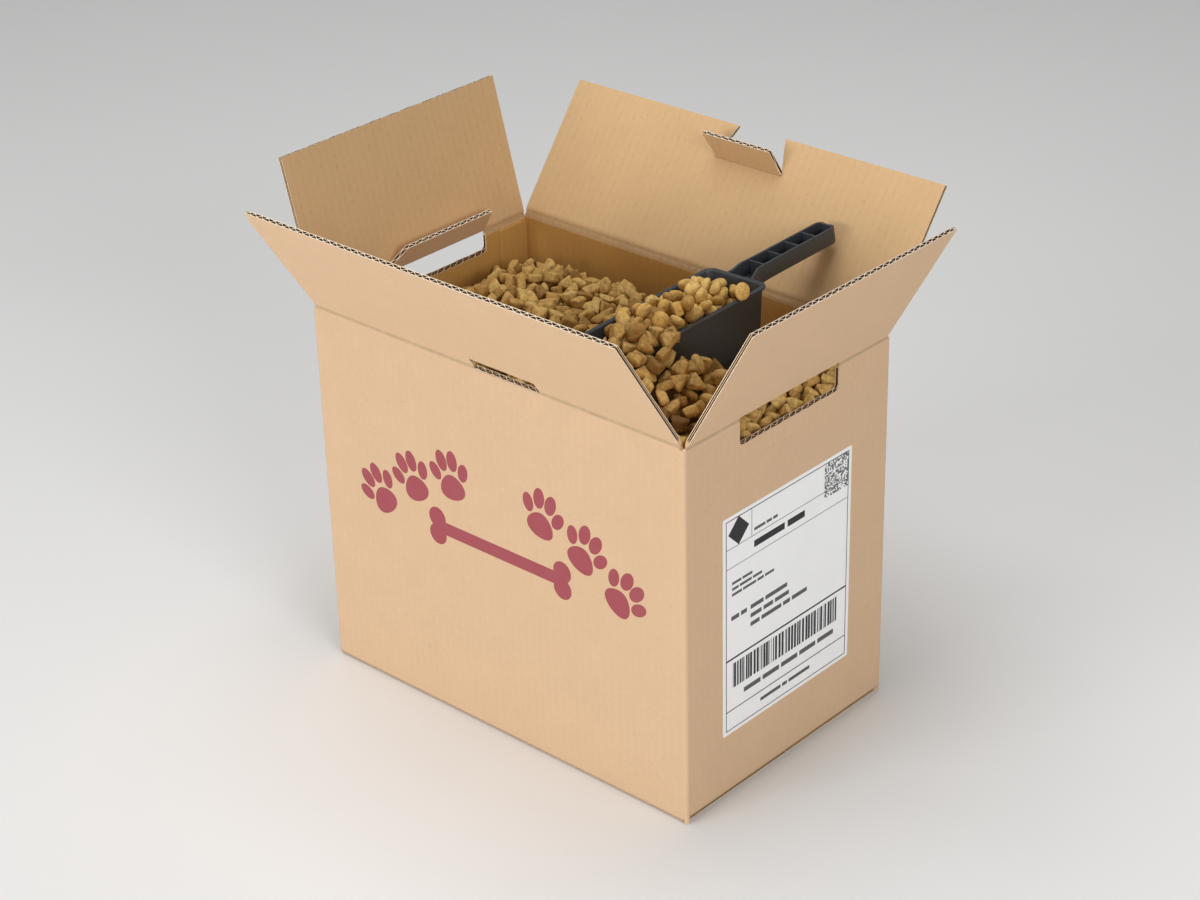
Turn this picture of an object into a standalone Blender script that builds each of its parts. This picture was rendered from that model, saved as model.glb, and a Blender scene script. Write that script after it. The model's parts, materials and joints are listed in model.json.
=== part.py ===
"""Corrugated shipping carton of dry pet food, its four top flaps open, with a plastic scoop in the food.

The origin is at the centre of the carton's base. +X runs along the long front panel, +Y to the back, +Z up.
The carton is one folded sheet. Its four top flaps turn on their creases, so each is an object of its own.
Run it with: blender --background --python part.py
"""

import math

import bmesh
import bpy
import numpy as np
from mathutils import Matrix, Vector

MM = 0.001

# Carton, outside sizes
LENGTH = 335 * MM  # along X
WIDTH = 213 * MM  # along Y
HEIGHT = 283 * MM  # base to the crease of the front and back flaps
BOARD = 3.0 * MM  # B-flute board
CORNER_RADIUS = 2.4 * MM
BASE_FOLD_RADIUS = 2.0 * MM
CLEARANCE = 0.3 * MM  # between pieces that touch
HINGE_CLEARANCE = 0.2 * MM  # each side of a crease

# Top flaps
FLAP_LENGTH = 104.5 * MM
FLAP_INSET = 3.3 * MM  # from the carton's outer corner to a flap's side edge
SIDE_CREASE_DROP = 1.5 * MM  # the side flaps fold in under the front and back ones
CORNER_SLOT_DEPTH = 3.2 * MM
FRONT_TILT = math.radians(33.3)  # outward from upright, as the flaps stand open
BACK_TILT = math.radians(37.3)
LEFT_TILT = math.radians(14.9)
RIGHT_TILT = math.radians(29.6)

# Hand holes in the side panels, and the tabs that were pushed in out of them
HOLE_LENGTH = 102 * MM
RIGHT_HOLE_HEIGHT = 18.5 * MM
LEFT_HOLE_HEIGHT = 15 * MM
HOLE_CORNER = 3.5 * MM
RIGHT_HOLE_Y = -1.2 * MM
LEFT_HOLE_Y = 11 * MM
HAND_TAB_LENGTH = 18.5 * MM
TAB_GAP = 1.2 * MM  # at each end of a tab
TAB_FRONT_TAPER = 8 * MM
TAB_BACK_TAPER = 2 * MM
TAB_FOLD = math.radians(44)  # from the flap, inward

# Lock: a slot at the front flap's crease, and a notch and tab in the back flap's edge
SLOT_CENTRE = 17 * MM
SLOT_LENGTH = 58 * MM
SLOT_HEIGHT = 8.6 * MM
LOCK_CREASE = 26.5 * MM  # in from the back flap's edge
LOCK_CENTRE = 8 * MM
NOTCH_MOUTH = 42 * MM
NOTCH_BASE = 60 * MM
LOCK_TAB_LENGTH = 21.5 * MM
LOCK_TAB_FOLD = math.radians(62)

# Base flaps and the side seam
BASE_SEAM_Y = 2.0 * MM
BASE_SEAM_GAP = 0.8 * MM
BASE_FLAP_INSET = 3.2 * MM
INNER_BASE_FLAP = 105 * MM
SEAM_TAB_WIDTH = 28 * MM
SEAM_TAB_TOP_GAP = 9 * MM

# Shipping label on the right panel
LABEL_WIDTH = 135 * MM
LABEL_HEIGHT = 165 * MM
LABEL_THICKNESS = 0.3 * MM
LABEL_CENTRE = (-1.9 * MM, 132.6 * MM)  # Y, Z

# Scoop: its own frame has +X to the right, +Y to the handle and +Z up, with the origin on the rear rim
SCOOP_FROM_RIGHT = 78.5 * MM  # rear rim to the carton's outside
SCOOP_FROM_BACK = 63 * MM
SCOOP_RISE = 41.5 * MM  # rear rim above the front crease
SCOOP_YAW = math.radians(5)
SCOOP_PITCH = math.radians(5)
SCOOP_ROLL = math.radians(4.7)
RIM_WIDTH = 57 * MM
RIM_FLANGE = 2.0 * MM
RIM_THICKNESS = 2.2 * MM
BOWL_LENGTH = 125 * MM
BOWL_LIP = 10 * MM  # how far the floor runs past the rim at the mouth
BOWL_DEPTH = 50 * MM
BOWL_DRAFT = 0.16
BOWL_WALL = 2.0 * MM
BOWL_CORNER = 6 * MM
HANDLE_LENGTH = 86 * MM
HANDLE_WIDTH = 16.8 * MM
HANDLE_DEPTH = 12.4 * MM
HANDLE_RISE = 3 * MM  # top of the handle above the rim
HANDLE_WALL = 1.8 * MM
HANDLE_RAMP = 12 * MM
HANDLE_CORNER = 4 * MM
HANDLE_CELLS = 5
HANDLE_RIB = 1.6 * MM

# Loose food: heights are above the front crease
FOOD_TOP = -6 * MM
FOOD_AT_LEFT = -39 * MM
FOOD_AT_BACK = -37 * MM
FOOD_AT_RIGHT = -21 * MM
FOOD_AT_FRONT_RIGHT = -3 * MM
LEFT_SLOPE = math.tan(math.radians(30))
BACK_SLOPE = math.tan(math.radians(32))
RIGHT_SLOPE = math.tan(math.radians(20))
MOUND_FROM_RIGHT = 74.5 * MM
MOUND_FROM_FRONT = 32.5 * MM
MOUND_RISE = 30 * MM
MOUND_SLOPE = math.tan(math.radians(41))
MOUND_STRETCH = 1.25  # how much longer it is along X
FOOD_CELL = 8 * MM
SCOOP_FOOD_CELL = 6 * MM

HALF_X = LENGTH / 2
HALF_Y = WIDTH / 2
INSIDE_X = HALF_X - BOARD
INSIDE_Y = HALF_Y - BOARD
SIDE_CREASE = HEIGHT - SIDE_CREASE_DROP
FLOOR_TOP = 2 * BOARD + CLEARANCE
BEYOND = 5 * MM  # how far a cutter runs past what it cuts
SMOOTH_ANGLE = math.radians(35)


def clear_scene():
    for obj in list(bpy.data.objects):
        bpy.data.objects.remove(obj, do_unlink=True)


def make_material(name, colour, roughness, metallic=0.0):
    material = bpy.data.materials.new(name)
    material.use_nodes = True
    shader = material.node_tree.nodes["Principled BSDF"]
    shader.inputs["Base Color"].default_value = (*colour, 1)
    shader.inputs["Roughness"].default_value = roughness
    shader.inputs["Metallic"].default_value = metallic
    return material


def add_object(name, bm, material=None):
    """An object from bm. One without a material is a helper, which a render leaves out."""
    bmesh.ops.recalc_face_normals(bm, faces=bm.faces)
    mesh = bpy.data.meshes.new(name)
    bm.to_mesh(mesh)
    bm.free()
    obj = bpy.data.objects.new(name, mesh)
    bpy.context.scene.collection.objects.link(obj)
    if material:
        mesh.materials.append(material)
    else:
        obj.hide_render = True
        obj.display_type = "WIRE"
    return obj


def loft(bm, loops):
    """Closed body through loops of points that all have the same count, capped at both ends."""
    rings = [[bm.verts.new(point) for point in loop] for loop in loops]
    for lower, upper in zip(rings, rings[1:]):
        for i in range(len(lower)):
            j = (i + 1) % len(lower)
            bm.faces.new((lower[i], lower[j], upper[j], upper[i]))
    bm.faces.new(rings[0])
    bm.faces.new(rings[-1])


def prism(axis, low, high, outline):
    """bmesh of an outline, given in the other two axes in X, Y, Z order, drawn out along axis."""
    bm = bmesh.new()
    loops = [[tuple(np.insert(point, axis, at)) for point in outline] for at in (low, high)]
    loft(bm, loops)
    return bm


def block(low, high):
    """bmesh of an upright box between two corners."""
    outline = [(low[0], low[1]), (high[0], low[1]), (high[0], high[1]), (low[0], high[1])]
    return prism(2, low[2], high[2], outline)


def combine(target, helpers, operation="DIFFERENCE"):
    for helper in helpers:
        modifier = target.modifiers.new(helper.name, "BOOLEAN")
        modifier.operation = operation
        modifier.object = helper
        modifier.solver = "EXACT"


def rounded_outline(half_a, half_b, radius, steps=3):
    """A rectangle with round corners, as points in order."""
    points = []
    for sign_a, sign_b, start in ((1, 1, 0), (-1, 1, 90), (-1, -1, 180), (1, -1, 270)):
        for step in range(steps + 1):
            angle = math.radians(start + 90 * step / steps)
            points.append(
                (
                    sign_a * (half_a - radius) + radius * math.cos(angle),
                    sign_b * (half_b - radius) + radius * math.sin(angle),
                )
            )
    return points


def crease_cutter(name, across_x, half, half_span, crease, side):
    """Takes off a panel's top down to a mitre that falls inward from its outer face, so its flap can fold flat."""
    out = side * (half + BEYOND)
    inner = side * (half - BOARD - CLEARANCE)
    top = crease + BEYOND
    fall = BOARD + CLEARANCE
    lip = crease - HINGE_CLEARANCE
    outline = [(out, top), (inner, top), (inner, lip - fall), (side * half, lip), (out, lip)]
    return add_object(name, prism(0 if across_x else 1, -half_span, half_span, outline))


def hand_hole_cutter(name, side, centre_y, height):
    low = SIDE_CREASE - height
    half = HOLE_LENGTH / 2
    outline = [(centre_y + half, SIDE_CREASE + BEYOND), (centre_y - half, SIDE_CREASE + BEYOND)]
    for sign, start in ((-1, 180), (1, 270)):
        for step in range(4):
            angle = math.radians(start + 90 * step / 3)
            outline.append(
                (
                    centre_y + sign * (half - HOLE_CORNER) + HOLE_CORNER * math.cos(angle),
                    low + HOLE_CORNER + HOLE_CORNER * math.sin(angle),
                )
            )
    ends = sorted((side * (HALF_X + BEYOND), side * (INSIDE_X - BEYOND)))
    return add_object(name, prism(0, ends[0], ends[1], outline))


def base_fold_cutter(name, side):
    """Rounds the fold between a long panel and its base flap."""
    arc = []
    for step in range(5):
        angle = math.radians(90 * step / 4)
        arc.append(
            (
                side * (HALF_Y - BASE_FOLD_RADIUS + BASE_FOLD_RADIUS * math.sin(angle)),
                BASE_FOLD_RADIUS - BASE_FOLD_RADIUS * math.cos(angle),
            )
        )
    first = tuple(2 * a - b for a, b in zip(arc[0], arc[1]))
    last = tuple(2 * a - b for a, b in zip(arc[-1], arc[-2]))
    outline = [first] + arc[1:-1] + [last, (side * (HALF_Y + BEYOND), -BEYOND)]
    return add_object(name, prism(0, -HALF_X - BEYOND, HALF_X + BEYOND, outline))


def make_carton(board):
    """The folded sheet below its top creases: four panels, the side seam's tab and four closed base flaps."""
    carton = add_object("carton_body", prism(2, 0, HEIGHT, rounded_outline(HALF_X, HALF_Y, CORNER_RADIUS)), board)

    inside = add_object(
        "cut_inside", block((-INSIDE_X, -INSIDE_Y, BOARD), (INSIDE_X, INSIDE_Y, HEIGHT + BEYOND))
    )
    under = INSIDE_Y - CLEARANCE
    gap = add_object(
        "cut_between_base_layers",
        block((-HALF_X - BEYOND, -under, BOARD - CLEARANCE / 2), (HALF_X + BEYOND, under, BOARD + CLEARANCE)),
    )
    seam = add_object(
        "cut_base_seam",
        block(
            (-HALF_X - BEYOND, BASE_SEAM_Y, -BEYOND),
            (HALF_X + BEYOND, BASE_SEAM_Y + BASE_SEAM_GAP, BOARD + CLEARANCE / 2),
        ),
    )
    cutters = [gap, seam, base_fold_cutter("cut_front_base_fold", -1), base_fold_cutter("cut_back_base_fold", 1)]
    for side, label in ((-1, "left"), (1, "right")):
        ends = sorted((side * (HALF_X - BASE_FLAP_INSET), side * (HALF_X + BEYOND)))
        reach = HALF_Y - BASE_FLAP_INSET
        cutters.append(
            add_object(
                f"cut_base_end_{label}",
                block((ends[0], -reach, -BEYOND), (ends[1], reach, BOARD + CLEARANCE / 2)),
            )
        )
    span_x = HALF_X - FLAP_INSET + CLEARANCE
    span_y = HALF_Y - FLAP_INSET + CLEARANCE
    cutters += [
        crease_cutter("cut_front_crease", True, HALF_Y, span_x, HEIGHT, -1),
        crease_cutter("cut_back_crease", True, HALF_Y, span_x, HEIGHT, 1),
        crease_cutter("cut_left_crease", False, HALF_X, span_y, SIDE_CREASE, -1),
        crease_cutter("cut_right_crease", False, HALF_X, span_y, SIDE_CREASE, 1),
        hand_hole_cutter("cut_left_hole", -1, LEFT_HOLE_Y, LEFT_HOLE_HEIGHT),
        hand_hole_cutter("cut_right_hole", 1, RIGHT_HOLE_Y, RIGHT_HOLE_HEIGHT),
    ]
    slot_floor = HEIGHT - CORNER_SLOT_DEPTH
    for side_x in (-1, 1):
        for side_y in (-1, 1):
            xs = sorted((side_x * (HALF_X - FLAP_INSET - CLEARANCE), side_x * (HALF_X + BEYOND)))
            ys = sorted((side_y * (HALF_Y - FLAP_INSET - CLEARANCE), side_y * (HALF_Y + BEYOND)))
            cutters.append(
                add_object(
                    f"cut_corner_slot_{'left' if side_x < 0 else 'right'}_{'front' if side_y < 0 else 'back'}",
                    block((xs[0], ys[0], slot_floor), (xs[1], ys[1], HEIGHT + BEYOND)),
                )
            )
    flaps = []
    for side, label in ((-1, "left"), (1, "right")):
        ends = sorted((side * (INSIDE_X + BOARD / 2), side * (HALF_X - INNER_BASE_FLAP)))
        reach = INSIDE_Y - 1.5 * CLEARANCE
        flaps.append(
            add_object(
                f"add_inner_base_flap_{label}",
                block((ends[0], -reach, BOARD - CLEARANCE / 3), (ends[1], reach, FLOOR_TOP)),
            )
        )
    flaps.append(
        add_object(
            "add_seam_tab",
            block(
                (-HALF_X + BOARD / 2, INSIDE_Y - SEAM_TAB_WIDTH, FLOOR_TOP + CLEARANCE),
                (-INSIDE_X + BOARD, INSIDE_Y + BOARD / 2, SIDE_CREASE - SEAM_TAB_TOP_GAP),
            ),
        )
    )
    combine(carton, [inside])
    combine(carton, flaps, "UNION")
    combine(carton, cutters)
    return carton


def flap_matrix(hinge, yaw, tilt):
    """A flap's own frame: X along its crease, Y into the carton, Z up the flap, with the origin on the crease."""
    return Matrix.Translation(hinge) @ Matrix.Rotation(yaw, 4, "Z") @ Matrix.Rotation(tilt, 4, "X")


def make_flap(name, half_width, place, board):
    """A flap of board whose lower edge is mitred up from the crease on its outer face."""
    bm = bmesh.new()
    low = HINGE_CLEARANCE
    section = [(0, low), (BOARD, low + BOARD), (BOARD, FLAP_LENGTH), (0, FLAP_LENGTH)]
    loft(bm, [[(x, y, z) for y, z in section] for x in (-half_width, half_width)])
    flap = add_object(name, bm, board)
    flap.matrix_world = place
    return flap


def folded_tab(name, outline, pivot, fold, place):
    """A tab of board with that outline in X and Z, turned inward about a line along X through pivot."""
    bm = prism(1, 0, BOARD, outline)
    turn = Matrix.Rotation(-fold, 4, "X")
    bm.transform(Matrix.Translation(pivot) @ turn)
    tab = add_object(name, bm)
    tab.matrix_world = place
    return tab


def add_hand_tab(flap, label, centre_y, to_back):
    """The panel's own board, cut round three sides for a hand hole and pushed in and up behind the flap.

    to_back is 1 where the flap's own X runs to the carton's back and -1 where it runs to its front.
    """
    half = HOLE_LENGTH / 2 - TAB_GAP
    outline = [
        (to_back * (centre_y - half), 0),
        (to_back * (centre_y + half), 0),
        (to_back * (centre_y + half - TAB_BACK_TAPER), HAND_TAB_LENGTH),
        (to_back * (centre_y - half + TAB_FRONT_TAPER), HAND_TAB_LENGTH),
    ]
    pivot = Vector((0, 0.15 * BOARD, 0.65 * BOARD))
    tab = folded_tab(f"add_{label}_hand_tab", outline, pivot, TAB_FOLD, flap.matrix_world)
    combine(flap, [tab], "UNION")


def add_lock_slot(flap):
    slot = add_object(
        "cut_lock_slot",
        block(
            (SLOT_CENTRE - SLOT_LENGTH / 2, -BEYOND, -BEYOND),
            (SLOT_CENTRE + SLOT_LENGTH / 2, BOARD + BEYOND, SLOT_HEIGHT),
        ),
    )
    slot.matrix_world = flap.matrix_world
    combine(flap, [slot])


def add_lock_notch(flap):
    """A dovetail notch in the flap's edge, with its tab folded inward. The flap's own X runs against the carton's."""
    crease = FLAP_LENGTH - LOCK_CREASE
    centre = -LOCK_CENTRE
    mouth_slope = (NOTCH_BASE - NOTCH_MOUTH) / 2 / LOCK_CREASE
    over = NOTCH_MOUTH / 2 - mouth_slope * BEYOND
    notch = [
        (centre - NOTCH_BASE / 2, crease),
        (centre + NOTCH_BASE / 2, crease),
        (centre + over, FLAP_LENGTH + BEYOND),
        (centre - over, FLAP_LENGTH + BEYOND),
    ]
    cutter = add_object("cut_lock_notch", prism(1, -BEYOND, BOARD + BEYOND, notch))
    cutter.matrix_world = flap.matrix_world
    root = -0.6 * BOARD
    narrow, flare, round_off = 4 * MM, 10 * MM, 4 * MM
    half = NOTCH_BASE / 2 - CLEARANCE
    outline = [
        (centre - half, root),
        (centre + half - flare / 2, root),
        (centre + half - flare / 2, 0),
        (centre + half - CLEARANCE, round_off),
        (centre + half + flare / 2, LOCK_TAB_LENGTH),
        (centre - half + narrow, LOCK_TAB_LENGTH),
    ]
    pivot = Vector((0, BOARD - BOARD * math.cos(LOCK_TAB_FOLD), crease + BOARD * math.sin(LOCK_TAB_FOLD)))
    tab = folded_tab("add_lock_tab", outline, pivot, LOCK_TAB_FOLD, flap.matrix_world)
    combine(flap, [cutter])
    combine(flap, [tab], "UNION")


def make_flaps(board):
    front = flap_matrix((0, -HALF_Y, HEIGHT), 0, FRONT_TILT)
    back = flap_matrix((0, HALF_Y, HEIGHT), math.pi, BACK_TILT)
    left = flap_matrix((-HALF_X, 0, SIDE_CREASE), -math.pi / 2, LEFT_TILT)
    right = flap_matrix((HALF_X, 0, SIDE_CREASE), math.pi / 2, RIGHT_TILT)
    add_lock_slot(make_flap("front_flap", HALF_X - FLAP_INSET, front, board))
    add_lock_notch(make_flap("back_flap", HALF_X - FLAP_INSET, back, board))
    add_hand_tab(make_flap("left_flap", HALF_Y - FLAP_INSET, left, board), "left", LEFT_HOLE_Y, -1)
    add_hand_tab(make_flap("right_flap", HALF_Y - FLAP_INSET, right, board), "right", RIGHT_HOLE_Y, 1)


def make_label(paper):
    y, z = LABEL_CENTRE
    x = HALF_X + CLEARANCE
    bm = block(
        (x, y - LABEL_WIDTH / 2, z - LABEL_HEIGHT / 2),
        (x + LABEL_THICKNESS, y + LABEL_WIDTH / 2, z + LABEL_HEIGHT / 2),
    )
    add_object("shipping_label", bm, paper)


def scoop_matrix():
    turn = (
        Matrix.Rotation(-SCOOP_YAW, 4, "Z")
        @ Matrix.Rotation(SCOOP_PITCH, 4, "X")
        @ Matrix.Rotation(-SCOOP_ROLL, 4, "Y")
    )
    place = (HALF_X - SCOOP_FROM_RIGHT, HALF_Y - SCOOP_FROM_BACK, HEIGHT + SCOOP_RISE)
    return Matrix.Translation(place) @ turn


def bowl_block(offset, rise=0.0, run=0.0):
    """bmesh of the bowl's outer form, drawn in by offset, its top raised by rise and its mouth run out by run."""
    half_top = RIM_WIDTH / 2 - RIM_FLANGE - offset
    half_floor = half_top - BOWL_DRAFT * (BOWL_DEPTH - offset)
    rear_top = -RIM_FLANGE - offset
    rear_floor = rear_top - BOWL_DRAFT * (BOWL_DEPTH - offset)
    corner = BOWL_CORNER - offset
    levels = [(half_floor, rear_floor, -BOWL_LENGTH - BOWL_LIP, offset - BOWL_DEPTH)]
    levels.append((half_top, rear_top, -BOWL_LENGTH, 0))
    if rise:
        levels.append((half_top, rear_top, -BOWL_LENGTH, rise))
    loops = []
    for half, rear, front, z in levels:
        loop = [(-half, front - run, z), (half, front - run, z)]
        for sign, start in ((1, 0), (-1, 90)):
            for step in range(4):
                angle = math.radians(start + 90 * step / 3)
                x = sign * (half - corner) + corner * math.cos(angle)
                loop.append((x, rear - corner + corner * math.sin(angle), z))
        loops.append(loop)
    bm = bmesh.new()
    loft(bm, loops)
    return bm


def rim_outline(grow, run=0.0):
    """The rim's outline from above, grown past the bowl's outer top edge, with square ends run past the mouth."""
    half = RIM_WIDTH / 2 - RIM_FLANGE + grow
    corner = BOWL_CORNER + grow
    rear = grow - RIM_FLANGE
    outline = [(-half, -BOWL_LENGTH - run), (half, -BOWL_LENGTH - run)]
    for sign, start in ((1, 0), (-1, 90)):
        for step in range(4):
            angle = math.radians(start + 90 * step / 3)
            outline.append(
                (
                    sign * (half - corner) + corner * math.cos(angle),
                    rear - corner + corner * math.sin(angle),
                )
            )
    return outline


def make_scoop(plastic):
    """One moulding: a drafted bowl with an open top and mouth, a flanged rim, and a ribbed channel for a handle."""
    place = scoop_matrix()
    scoop = add_object("scoop", bowl_block(0), plastic)
    rim = add_object("add_scoop_rim", prism(2, -RIM_THICKNESS, 0, rim_outline(RIM_FLANGE)))
    top = HANDLE_RISE
    bottom = HANDLE_RISE - HANDLE_DEPTH
    start = -RIM_FLANGE - 0.95 * BOWL_WALL
    half = HANDLE_WIDTH / 2
    bm = block((-half, start, bottom), (half, HANDLE_LENGTH, top))
    end = [
        edge
        for edge in bm.edges
        if all(v.co.y > HANDLE_LENGTH - MM / 10 for v in edge.verts)
        and abs(edge.verts[0].co.x - edge.verts[1].co.x) < MM / 10
    ]
    bmesh.ops.bevel(bm, geom=end, offset=HANDLE_CORNER, segments=3, affect="EDGES")
    handle = add_object("add_scoop_handle", bm)
    above = top + BEYOND
    slope = [(start - BEYOND, 0), (0, 0), (HANDLE_RAMP, top), (HANDLE_RAMP, above), (start - BEYOND, above)]
    ramp = add_object("cut_handle_ramp", prism(0, -half - BEYOND, half + BEYOND, slope))
    hollow = add_object("cut_scoop_bowl", bowl_block(BOWL_WALL, rise=BEYOND, run=BEYOND))
    combine(scoop, [rim, handle], "UNION")
    combine(scoop, [ramp])

    first = HANDLE_WALL
    pitch = (HANDLE_LENGTH - HANDLE_WALL + HANDLE_RIB - first) / HANDLE_CELLS
    cells = []
    for i in range(HANDLE_CELLS):
        low = first + i * pitch
        inner = half - HANDLE_WALL
        cells.append(
            add_object(
                f"cut_handle_cell_{i + 1}",
                block((-inner, low, bottom + HANDLE_WALL), (inner, low + pitch - HANDLE_RIB, top + BEYOND)),
            )
        )
    combine(scoop, cells + [hollow])
    for obj in [scoop, rim, handle, ramp, hollow] + cells:
        obj.matrix_world = place
    return scoop


def smooth_low(a, b, blend):
    """The lower of two heights, rounded over where they meet."""
    share = np.clip((blend + a - b) / (2 * blend), 0, 1)
    return a + share * (b - a) - blend * share * (1 - share)


def food_height(x, y):
    """Height of the loose food over the carton's base."""
    blend = 8 * MM
    side = np.clip((-60 * MM - y) / (40 * MM), 0, 1)
    right = FOOD_AT_RIGHT + (FOOD_AT_FRONT_RIGHT - FOOD_AT_RIGHT) * side * side * (3 - 2 * side)
    height = FOOD_TOP + 0 * x
    height = smooth_low(height, FOOD_AT_LEFT + LEFT_SLOPE * (x + INSIDE_X), blend)
    height = smooth_low(height, FOOD_AT_BACK + BACK_SLOPE * (INSIDE_Y - y), blend)
    height = smooth_low(height, right + RIGHT_SLOPE * (INSIDE_X - x), blend)
    from_peak_x = x - (HALF_X - MOUND_FROM_RIGHT)
    from_peak_y = y - (MOUND_FROM_FRONT - HALF_Y)
    mound = MOUND_RISE - MOUND_SLOPE * np.hypot(from_peak_x / MOUND_STRETCH, from_peak_y)
    return HEIGHT - smooth_low(-height, -mound, blend)


def scoop_food_height(x, y):
    """Height of the scoop's load over its rim: heaped to the right, low along the left rim and the rear wall."""
    crown = 9 * MM + 0.16 * x - 7 * MM * (x / (22 * MM)) ** 2
    rear = -16 * MM - 0.75 * (y + RIM_FLANGE + BOWL_WALL)
    return smooth_low(crown, rear, 5 * MM)


def height_field(low, high, cell, height, floor):
    """bmesh of a block with a flat floor at a height, whose top follows height(x, y)."""
    counts = [max(2, round((b - a) / cell) + 1) for a, b in zip(low, high)]
    xs, ys = (np.linspace(a, b, n) for a, b, n in zip(low, high, counts))
    bm = bmesh.new()
    top = [[bm.verts.new((x, y, float(height(x, y)))) for y in ys] for x in xs]
    for i in range(len(xs) - 1):
        for j in range(len(ys) - 1):
            bm.faces.new((top[i][j], top[i + 1][j], top[i + 1][j + 1], top[i][j + 1]))
    rim = top[0] + [row[-1] for row in top[1:]] + top[-1][-2::-1] + [row[0] for row in top[-2:0:-1]]
    foot = [bm.verts.new((v.co.x, v.co.y, floor)) for v in rim]
    for i in range(len(rim)):
        j = (i + 1) % len(rim)
        bm.faces.new((rim[i], rim[j], foot[j], foot[i]))
    bm.faces.new(foot)
    bmesh.ops.triangulate(bm, faces=[f for f in bm.faces if len(f.verts) == 4])
    return bm


def make_food(kibble):
    """The heap in the carton, with the bed that the scoop lies in pressed out of it."""
    gap = CLEARANCE
    reach_x, reach_y = INSIDE_X - gap, INSIDE_Y - gap
    bm = height_field((-reach_x, -reach_y), (reach_x, reach_y), FOOD_CELL, food_height, FLOOR_TOP + gap)
    food = add_object("food_fill", bm, kibble)
    seam = add_object(
        "cut_food_seam_tab",
        block(
            (-HALF_X, INSIDE_Y - SEAM_TAB_WIDTH - gap, 0),
            (-INSIDE_X + BOARD + gap, HALF_Y, HEIGHT),
        ),
    )
    tall = HEIGHT / 2
    bed = add_object("cut_scoop_bed", bowl_block(-gap, rise=tall, run=gap))
    over = add_object("cut_over_rim", prism(2, -RIM_THICKNESS - gap, tall, rim_outline(RIM_FLANGE + gap, gap)))
    for obj in (bed, over):
        obj.matrix_world = scoop_matrix()
    combine(food, [seam, bed, over])


def make_scoop_food(kibble):
    """The scoop's load, which fills the bowl from wall to wall and ends at the mouth."""
    half = RIM_WIDTH / 2
    bm = height_field(
        (-half, -BOWL_LENGTH - BOWL_LIP - BEYOND), (half, 0), SCOOP_FOOD_CELL, scoop_food_height, -BOWL_DEPTH
    )
    food = add_object("scoop_food", bm, kibble)
    inside = add_object("keep_in_bowl", bowl_block(BOWL_WALL + CLEARANCE, rise=HEIGHT / 4, run=-2 * CLEARANCE))
    for obj in (food, inside):
        obj.matrix_world = scoop_matrix()
    combine(food, [inside], "INTERSECT")


def finish():
    """Leaves only the carton's pieces, each with its cuts applied and its round faces shaded smooth."""
    graph = bpy.context.evaluated_depsgraph_get()
    pieces = [obj for obj in bpy.data.objects if not obj.hide_render]
    meshes = [bpy.data.meshes.new_from_object(obj.evaluated_get(graph)) for obj in pieces]
    for obj, mesh in zip(pieces, meshes):
        obj.modifiers.clear()
        obj.data = mesh
        mesh.name = obj.name
        mesh.shade_smooth()
        mesh.set_sharp_from_angle(angle=SMOOTH_ANGLE)
    for obj in [obj for obj in bpy.data.objects if obj.hide_render]:
        bpy.data.objects.remove(obj, do_unlink=True)


def main():
    clear_scene()
    board = make_material("kraft_board", (0.52, 0.34, 0.19), 0.85)
    paper = make_material("label_paper", (0.80, 0.80, 0.80), 0.55)
    plastic = make_material("black_plastic", (0.03, 0.03, 0.035), 0.4)
    kibble = make_material("box_kibble", (0.33, 0.22, 0.08), 0.8)
    scoop_kibble = make_material("scoop_kibble", (0.42, 0.26, 0.07), 0.8)
    make_carton(board)
    make_flaps(board)
    make_label(paper)
    make_scoop(plastic)
    make_food(kibble)
    make_scoop_food(scoop_kibble)
    finish()


main()
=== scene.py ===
"""The looks of an open corrugated carton of dry pet food, with a plastic scoop lying in the kibble.

Board is built as it is made: two liners with a fluted sheet between them, so every cut edge shows its flutes.
A panel has its own frame: X along its top crease, Y into the carton and Z up, with the origin on the crease.
Places on a panel are (along, depth, up) in metres, and depth 0 is its outer face.
The kibble is dropped into the carton and the scoop with Blender's rigid bodies, and stays where it settles.
"""

import json
import math

import bmesh
import bpy
import numpy as np
from mathutils import Matrix, Quaternion, Vector
from mathutils.bvhtree import BVHTree

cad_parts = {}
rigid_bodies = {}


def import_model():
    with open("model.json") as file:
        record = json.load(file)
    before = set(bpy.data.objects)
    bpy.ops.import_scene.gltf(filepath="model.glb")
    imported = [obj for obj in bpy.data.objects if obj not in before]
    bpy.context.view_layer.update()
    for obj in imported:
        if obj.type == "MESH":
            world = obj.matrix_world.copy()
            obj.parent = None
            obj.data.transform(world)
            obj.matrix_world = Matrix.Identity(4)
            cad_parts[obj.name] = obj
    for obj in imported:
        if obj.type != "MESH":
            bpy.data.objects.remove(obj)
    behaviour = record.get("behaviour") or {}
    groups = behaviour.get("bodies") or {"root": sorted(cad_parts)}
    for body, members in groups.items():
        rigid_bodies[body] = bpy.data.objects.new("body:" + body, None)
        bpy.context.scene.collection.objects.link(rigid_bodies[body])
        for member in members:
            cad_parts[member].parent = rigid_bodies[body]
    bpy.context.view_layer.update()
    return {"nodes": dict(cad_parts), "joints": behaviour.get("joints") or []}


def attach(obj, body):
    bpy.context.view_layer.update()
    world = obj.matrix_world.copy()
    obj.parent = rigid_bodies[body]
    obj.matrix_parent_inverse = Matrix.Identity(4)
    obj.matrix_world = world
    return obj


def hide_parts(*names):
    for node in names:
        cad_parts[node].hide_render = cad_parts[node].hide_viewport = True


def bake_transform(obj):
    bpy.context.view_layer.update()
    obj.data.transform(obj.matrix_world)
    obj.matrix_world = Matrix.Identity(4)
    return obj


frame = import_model()

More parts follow.
